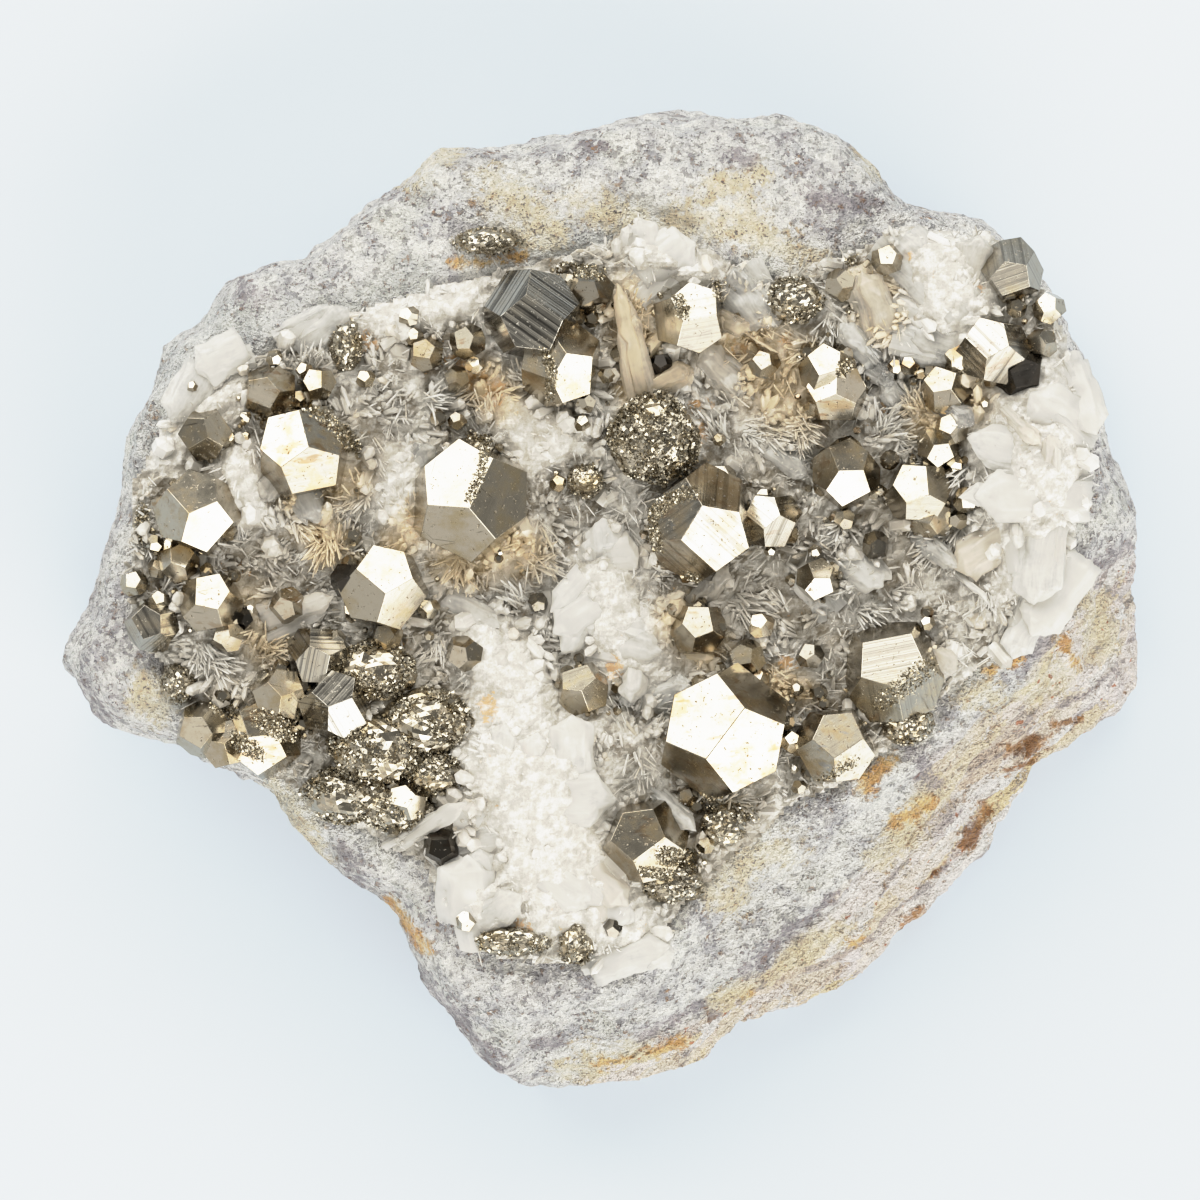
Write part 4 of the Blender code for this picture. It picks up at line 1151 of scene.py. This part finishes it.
def quartz_piece(name, model, made, material, whiteness=None, warmth=None, nodes=()):
    """Joins a list of crystals into one piece, coloured by the region that each grows in."""
    feet = np.array([crystal[0].lerp(crystal[1], 0.4) for crystal in made])
    values = {kind: region_strength(feet, kind) for kind in REGIONS}
    values["tone"] = chance.random(len(made))
    if whiteness is not None:
        values["milky"] = np.array(whiteness)
        values["warm"] = np.array(warmth)
    piece = joined_copies(name, model, [laid_to(*crystal) for crystal in made], values, fibres=True)
    finish_piece(piece, material, nodes)
    return piece


QUARTZ_IOR = 1.54
QUARTZ_GLOW = (233, 231, 227)      # the light that comes through milky quartz
QUARTZ_STAIN = (222, 198, 152)     # quartz stained by iron


def quartz_finish(name, light, shade, frosting, glassy=False):
    """A quartz material with milky wisps and fibres along each crystal, clear between them if glassy."""
    material, shader = new_material(name)
    own = shader.attribute("own_place", 1)
    fibre_place = shader.node("ShaderNodeMapping", {}, {"Vector": own, "Scale": (1.0, 1.0, 0.10)})
    wisps = shader.noise(shader.places(), 330, 3, 0.62)
    fibres = shader.noise(fibre_place, 1500, 2, 0.6)
    tone = shader.attribute("tone")
    stained = shader.attribute("warm") * 0.62
    body = shader.lay_over(
        shader.blend(shader.steps(wisps, 0.3, 0.62), light, shade),
        (shader.attribute("milky") * 0.5, (230, 228, 224)),
        (shader.steps(fibres, 0.52, 0.66) * frosting, (252, 251, 249)),
        (stained, QUARTZ_STAIN),
        # Crystals in dusky regions are darkened: painted shade of the deep spaces around them, where dark
        # pyrite also shows
        (shader.attribute("dusky") * 0.35, (170, 160, 144)),
        (shader.steps(tone, 0.90, 0.98) * frosting, (222, 202, 166)))
    chalk = {"Base Color": body, "Roughness": 0.28, "IOR": QUARTZ_IOR}
    if not glassy:
        shader.finish(shader.principled(chalk))
        return material
    relief = {"Normal": shader.bump(fibres, 0.05 * MM, 0.55)}
    chalky = shader.principled({**chalk, **relief})
    pale, rusty = (shader.node("ShaderNodeBsdfTranslucent", {}, {"Color": colour, **relief})
                   for colour in (QUARTZ_GLOW, QUARTZ_STAIN))
    milk = shader.mix(0.48, chalky, shader.mix(stained, pale, rusty))
    clear = shader.principled({
        "Base Color": (250, 250, 249), "Roughness": 0.04, "IOR": QUARTZ_IOR,
        "Transmission Weight": 1.0, **relief})
    share = shader.attribute("milky") * 0.75 + tone * 0.25 + (wisps - 0.5) * 0.9 + (fibres - 0.5) * 0.4
    share = shader.steps(share, 0.05, 0.80, 0.12, 1.0)
    shader.finish(shader.mix(share, clear, milk))
    return material


# Single large crystals and plates: px, py of the foot, px, py of the tip, width, thickness and rise of the
# tip above the bed (mm), how milky (0 to 1) and how stained with iron (0 to 1)
QUARTZ_POINTS = [
    (572, 780, 571, 714, 6.2, 3.0, 5.2, 0.95, 0.0), (474, 793, 620, 797, 8.0, 3.0, 3.4, 1.00, 0.0),
    (492, 772, 508, 722, 5.5, 2.4, 2.6, 0.75, 0.0), (532, 775, 534, 730, 4.4, 2.2, 3.2, 0.80, 0.0),
    (470, 830, 560, 815, 5.0, 2.0, 2.0, 0.75, 0.0), (507, 842, 592, 905, 8.0, 3.0, 3.0, 0.85, 0.0),
    (580, 858, 628, 905, 5.0, 3.0, 3.2, 0.95, 0.25), (590, 932, 630, 898, 5.4, 3.0, 3.0, 1.00, 0.0),
    (466, 918, 467, 853, 8.2, 4.0, 3.4, 1.00, 0.0), (474, 927, 519, 891, 4.4, 2.6, 3.6, 0.55, 0.0),
    (396, 843, 468, 801, 2.4, 1.4, 3.4, 1.00, 0.0), (590, 966, 668, 940, 5.4, 2.2, 1.6, 0.90, 0.0),
    (640, 930, 668, 966, 4.4, 2.0, 1.4, 0.80, 0.0), (452, 868, 430, 838, 3.2, 2.0, 2.4, 0.75, 0.0),
    (618, 582, 554, 634, 6.2, 2.4, 3.2, 0.95, 0.0), (604, 588, 562, 652, 4.4, 2.0, 2.6, 0.85, 0.0),
    (598, 636, 660, 650, 5.6, 2.4, 3.0, 0.70, 0.0), (612, 570, 600, 520, 6.0, 2.0, 1.8, 0.70, 0.0),
    (633, 656, 632, 701, 3.8, 3.0, 3.6, 0.45, 0.0), (590, 560, 640, 548, 5.0, 2.0, 1.6, 0.70, 0.0),
    (1084, 496, 970, 497, 7.4, 4.0, 5.0, 0.95, 0.0), (1040, 518, 1030, 606, 6.8, 3.0, 3.8, 0.80, 0.0),
    (1012, 516, 1012, 549, 2.2, 1.5, 5.2, 1.00, 0.0), (998, 408, 1035, 445, 2.3, 2.0, 5.2, 1.00, 0.3),
    (1046, 478, 1045, 435, 2.7, 2.0, 5.6, 1.00, 0.2), (1078, 436, 1026, 398, 8.0, 3.0, 3.8, 0.75, 0.0),
    (1052, 462, 964, 438, 5.6, 2.4, 3.4, 0.72, 0.0), (1014, 530, 950, 568, 6.0, 2.6, 3.0, 0.85, 0.4),
    (1076, 556, 1026, 636, 7.0, 2.6, 2.2, 0.80, 0.0), (926, 398, 971, 425, 3.2, 2.6, 3.8, 0.35, 0.0),
    (914, 535, 954, 569, 2.6, 2.2, 3.6, 0.40, 0.0), (949, 568, 987, 603, 0.8, 0.8, 4.6, 1.00, 0.0),
    (1066, 366, 1092, 436, 5.4, 2.6, 2.8, 0.80, 0.0), (1034, 598, 1008, 660, 4.4, 2.2, 2.0, 0.60, 0.0),
    (884, 331, 860, 273, 4.8, 3.0, 3.6, 0.55, 0.55), (873, 361, 837, 325, 3.0, 2.4, 3.2, 0.30, 0.0),
    (896, 246, 978, 326, 8.0, 3.0, 2.0, 0.50, 0.0), (958, 300, 976, 238, 5.6, 2.6, 3.0, 0.60, 0.1),
    (905, 330, 962, 352, 6.0, 2.6, 2.2, 0.50, 0.0), (868, 370, 890, 386, 2.6, 2.0, 2.8, 0.35, 0.0),
    (896, 408, 880, 386, 2.6, 2.0, 3.0, 0.50, 0.0), (638, 278, 694, 244, 6.6, 2.2, 2.4, 0.95, 0.0),
    (652, 272, 640, 219, 4.4, 2.0, 2.0, 0.95, 0.0), (724, 280, 768, 330, 6.4, 2.4, 1.6, 0.40, 0.0),
    (643, 400, 616, 286, 2.8, 2.2, 4.2, 0.65, 0.9), (636, 352, 634, 316, 2.0, 1.8, 4.0, 0.60, 0.8),
    (644, 393, 690, 369, 3.4, 2.4, 3.2, 0.35, 0.9), (701, 316, 748, 331, 2.8, 2.0, 4.4, 0.40, 0.9),
    (712, 316, 779, 357, 0.35, 0.35, 4.8, 0.60, 1.0), (740, 396, 700, 346, 4.6, 2.2, 1.8, 0.45, 0.4),
    (206, 368, 176, 424, 6.0, 2.2, 1.4, 0.70, 0.0), (246, 348, 196, 372, 6.0, 2.2, 1.4, 0.70, 0.0),
    (300, 348, 352, 312, 4.6, 2.0, 1.6, 0.65, 0.0), (288, 468, 262, 500, 3.4, 2.0, 2.6, 0.45, 0.2),
    (300, 480, 318, 520, 3.6, 2.0, 2.4, 0.50, 0.0), (264, 622, 336, 596, 3.2, 2.0, 2.4, 0.80, 0.15),
    (412, 470, 436, 446, 2.8, 2.0, 3.0, 0.45, 0.0), (446, 600, 500, 626, 4.0, 2.0, 2.0, 0.65, 0.0),
    (476, 690, 506, 650, 4.4, 2.0, 2.2, 0.70, 0.0), (820, 610, 800, 566, 4.4, 2.2, 1.8, 0.60, 0.0),
    (846, 560, 880, 588, 4.6, 2.2, 2.0, 0.60, 0.0), (656, 793, 696, 829, 2.4, 2.2, 4.6, 0.55, 0.0),
    (650, 700, 690, 684, 3.6, 2.2, 2.4, 0.45, 0.0), (700, 600, 726, 566, 3.0, 2.0, 2.4, 0.40, 0.3),
    (890, 700, 874, 674, 3.6, 2.6, 4.2, 0.50, 0.1), (920, 650, 952, 672, 4.0, 2.4, 2.8, 0.50, 0.3),
    (768, 450, 806, 474, 3.0, 2.0, 2.2, 0.50, 0.0), (560, 466, 540, 430, 3.2, 2.0, 2.6, 0.55, 0.2),
]
BESIDE_EACH = 6
chance = np.random.default_rng(33)
points_made, whiteness, warmth = [], [], []
beside_made, beside_whiteness, beside_warmth = [], [], []
for foot_x, foot_y, tip_x, tip_y, width, thickness, rise, white, warm in QUARTZ_POINTS:
    foot, tip = on_plan(foot_x, foot_y), on_plan(tip_x, tip_y)
    foot.z = bed_height(foot.x, foot.y) + (0.1 * thickness - 1.3) * MM
    tip.z = min(bed_height(tip.x, tip.y) + (rise - 0.4 * thickness) * MM, high[2] - 0.6 * thickness * MM)
    points_made.append((foot, tip, width * MM, thickness * MM))
    whiteness.append(white)
    warmth.append(warm)
    # Each large crystal has smaller ones grown beside it, nearly side by side
    for _ in range(BESIDE_EACH):
        shift = Vector((chance.normal(), chance.normal(), 0)) * width * 0.30 * MM
        share = chance.uniform(0.35, 0.8)
        end = foot.lerp(tip, chance.uniform(0.6, 0.98)) + shift * 0.6 - Vector((0, 0, 0.3 * MM))
        beside = (foot + shift, end, width * share * MM, thickness * share * MM)
        rooted = inside_druse(beside[0].x, beside[0].y) > -0.5 * MM
        if rooted and (end - beside[0]).length > 0.8 * MM and end.z < high[2] - 1.2 * MM:
            beside_made.append(beside)
            beside_whiteness.append(min(1.0, white * chance.uniform(0.8, 1.15)))
            beside_warmth.append(warm * chance.uniform(0.5, 1.0))


def finer_model(name, slender, levels):
    """A quartz crystal whose faces are split into smaller ones, so that they can be made uneven."""
    crystal = model_quartz(name, slender)
    only(crystal)
    apply_modifier(crystal, "SUBSURF", subdivision_type="SIMPLE", levels=levels, render_levels=levels)
    return crystal


prism_model = finer_model("prism_model", 0.20, 3)
beside_model = finer_model("beside_model", 0.20, 1)
quartz_nodes = sorted(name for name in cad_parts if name.startswith("quartz"))
prism_material = quartz_finish("quartz_large", (248, 247, 244), (226, 224, 219), 0.12, True)
large = quartz_piece("quartz_large_crystals", prism_model, points_made, prism_material, whiteness, warmth,
                     quartz_nodes)
beside = quartz_piece("quartz_side_crystals", beside_model, beside_made, prism_material, beside_whiteness,
                      beside_warmth)
for piece in (large, beside):
    points = mesh_points(piece)
    ragged = np.column_stack([
        fine_noise(points, 3.0 * MM, 2, seed) * 0.46 + fine_noise(points, 0.9 * MM, 2, seed) * 0.22
        for seed in (2.0, 5.0, 9.0)])
    move_points(piece, np.minimum(points + ragged * MM, high))
large.data.shade_smooth()


def growing_way(px, py, layer):
    """The direction that the crystals around a place lean to, in degrees: it wanders over the plan."""
    return 720 * noise.noise(Vector((px / 70, py / 70, layer))) + 90


# The circle that the druse lies in, in plan steps
STREWN_MIDDLE, STREWN_RADIUS = (600, 590), 545


def chance_place():
    """A place on the plan drawn evenly from the circle."""
    angle, away = chance.random() * math.tau, math.sqrt(chance.random()) * STREWN_RADIUS
    return STREWN_MIDDLE[0] + away * math.cos(angle), STREWN_MIDDLE[1] + away * math.sin(angle)


SHORT_COUNT = 4200
short_prisms = []
while len(short_prisms) < SHORT_COUNT:
    px, py = chance_place()
    steep = chance.uniform(5, 50)
    milky = region_strength(np.array([on_plan(px, py)]), "milky")[0]
    if chance.random() < 0.15 + 0.35 * milky:
        count, longest, widest = 2, chance.uniform(2.6, 5.0), chance.uniform(1.6, 3.2)
    else:
        count, longest, widest = 6, chance.uniform(1.4, 3.6), chance.uniform(0.4, 1.2)
    tuft(short_prisms, chance, px, py, 9, count, longest, widest,
         lean=growing_way(px, py, 1.0) + chance.normal() * 60, wander=14, steepness=(steep, steep + 18),
         slimmest=0.35)
short_model = model_quartz("short_model", 0.22)
short_material = quartz_finish("quartz_short", (214, 211, 205), (174, 169, 160), 0.25)
quartz_piece("quartz_short_prisms", short_model, short_prisms, short_material)

# Needle sprays that stand out, each from one spot: px, py, how many needles, longest (mm)
NEEDLE_SPRAYS = [
    (240, 468, 60, 5.4), (248, 446, 30, 4.0), (490, 424, 40, 4.6), (528, 408, 40, 4.4), (405, 512, 60, 4.6),
    (424, 520, 40, 4.0), (524, 380, 34, 4.2), (534, 388, 24, 3.8), (216, 664, 40, 4.0), (206, 650, 30, 3.6),
    (795, 424, 60, 4.6), (812, 432, 40, 4.0), (240, 540, 40, 4.0), (940, 538, 50, 4.4), (952, 530, 30, 3.6),
    (985, 592, 40, 4.6), (960, 470, 40, 4.0), (330, 540, 50, 4.2), (346, 548, 30, 3.6), (740, 600, 40, 4.4),
    (560, 440, 30, 4.0), (500, 398, 40, 4.2), (770, 436, 40, 4.0), (840, 524, 40, 3.6), (430, 400, 40, 4.0),
    (360, 500, 40, 3.8), (500, 750, 30, 4.4), (955, 300, 70, 4.0), (966, 312, 40, 3.6), (880, 430, 50, 4.0),
    (310, 370, 40, 3.6), (712, 812, 50, 4.0), (730, 800, 30, 3.6), (300, 520, 40, 3.8), (170, 590, 30, 3.4),
    (160, 640, 30, 3.4), (720, 440, 50, 4.0), (745, 430, 40, 3.6), (808, 350, 40, 3.6), (830, 320, 30, 3.4),
    (460, 560, 40, 4.2), (540, 560, 40, 4.0), (520, 600, 30, 4.0), (440, 640, 30, 3.6), (780, 610, 40, 4.0),
    (860, 610, 40, 4.0), (900, 440, 40, 3.6), (915, 410, 40, 3.6), (270, 650, 40, 3.8), (380, 460, 40, 3.6),
]
NEEDLE_COUNT = 5600
needles = []
for px, py, count, longest in NEEDLE_SPRAYS:
    for _ in range(count):
        tuft(needles, chance, px, py, 9, 1, longest * 1.2, 0.34, lean=growing_way(px, py, 6.0), wander=30,
             steepness=(6, 50), slimmest=0.45)
while len(needles) < NEEDLE_COUNT:
    px, py = chance_place()
    steep = chance.uniform(5, 55)
    tuft(needles, chance, px, py, 12, 5, chance.uniform(1.4, 4.8), chance.uniform(0.14, 0.34),
         lean=growing_way(px, py, 6.0) + chance.normal() * 70, wander=22, steepness=(steep, steep + 30))
needle_model = model_quartz("needle_model", 0.12)
needle_material = quartz_finish("quartz_fine", (218, 216, 211), (182, 178, 170), 0.25)
quartz_piece("quartz_needles", needle_model, needles, needle_material)

for model in (pyrite_model, grain_model, small_model, prism_model, beside_model, short_model, needle_model):
    bpy.data.objects.remove(model)
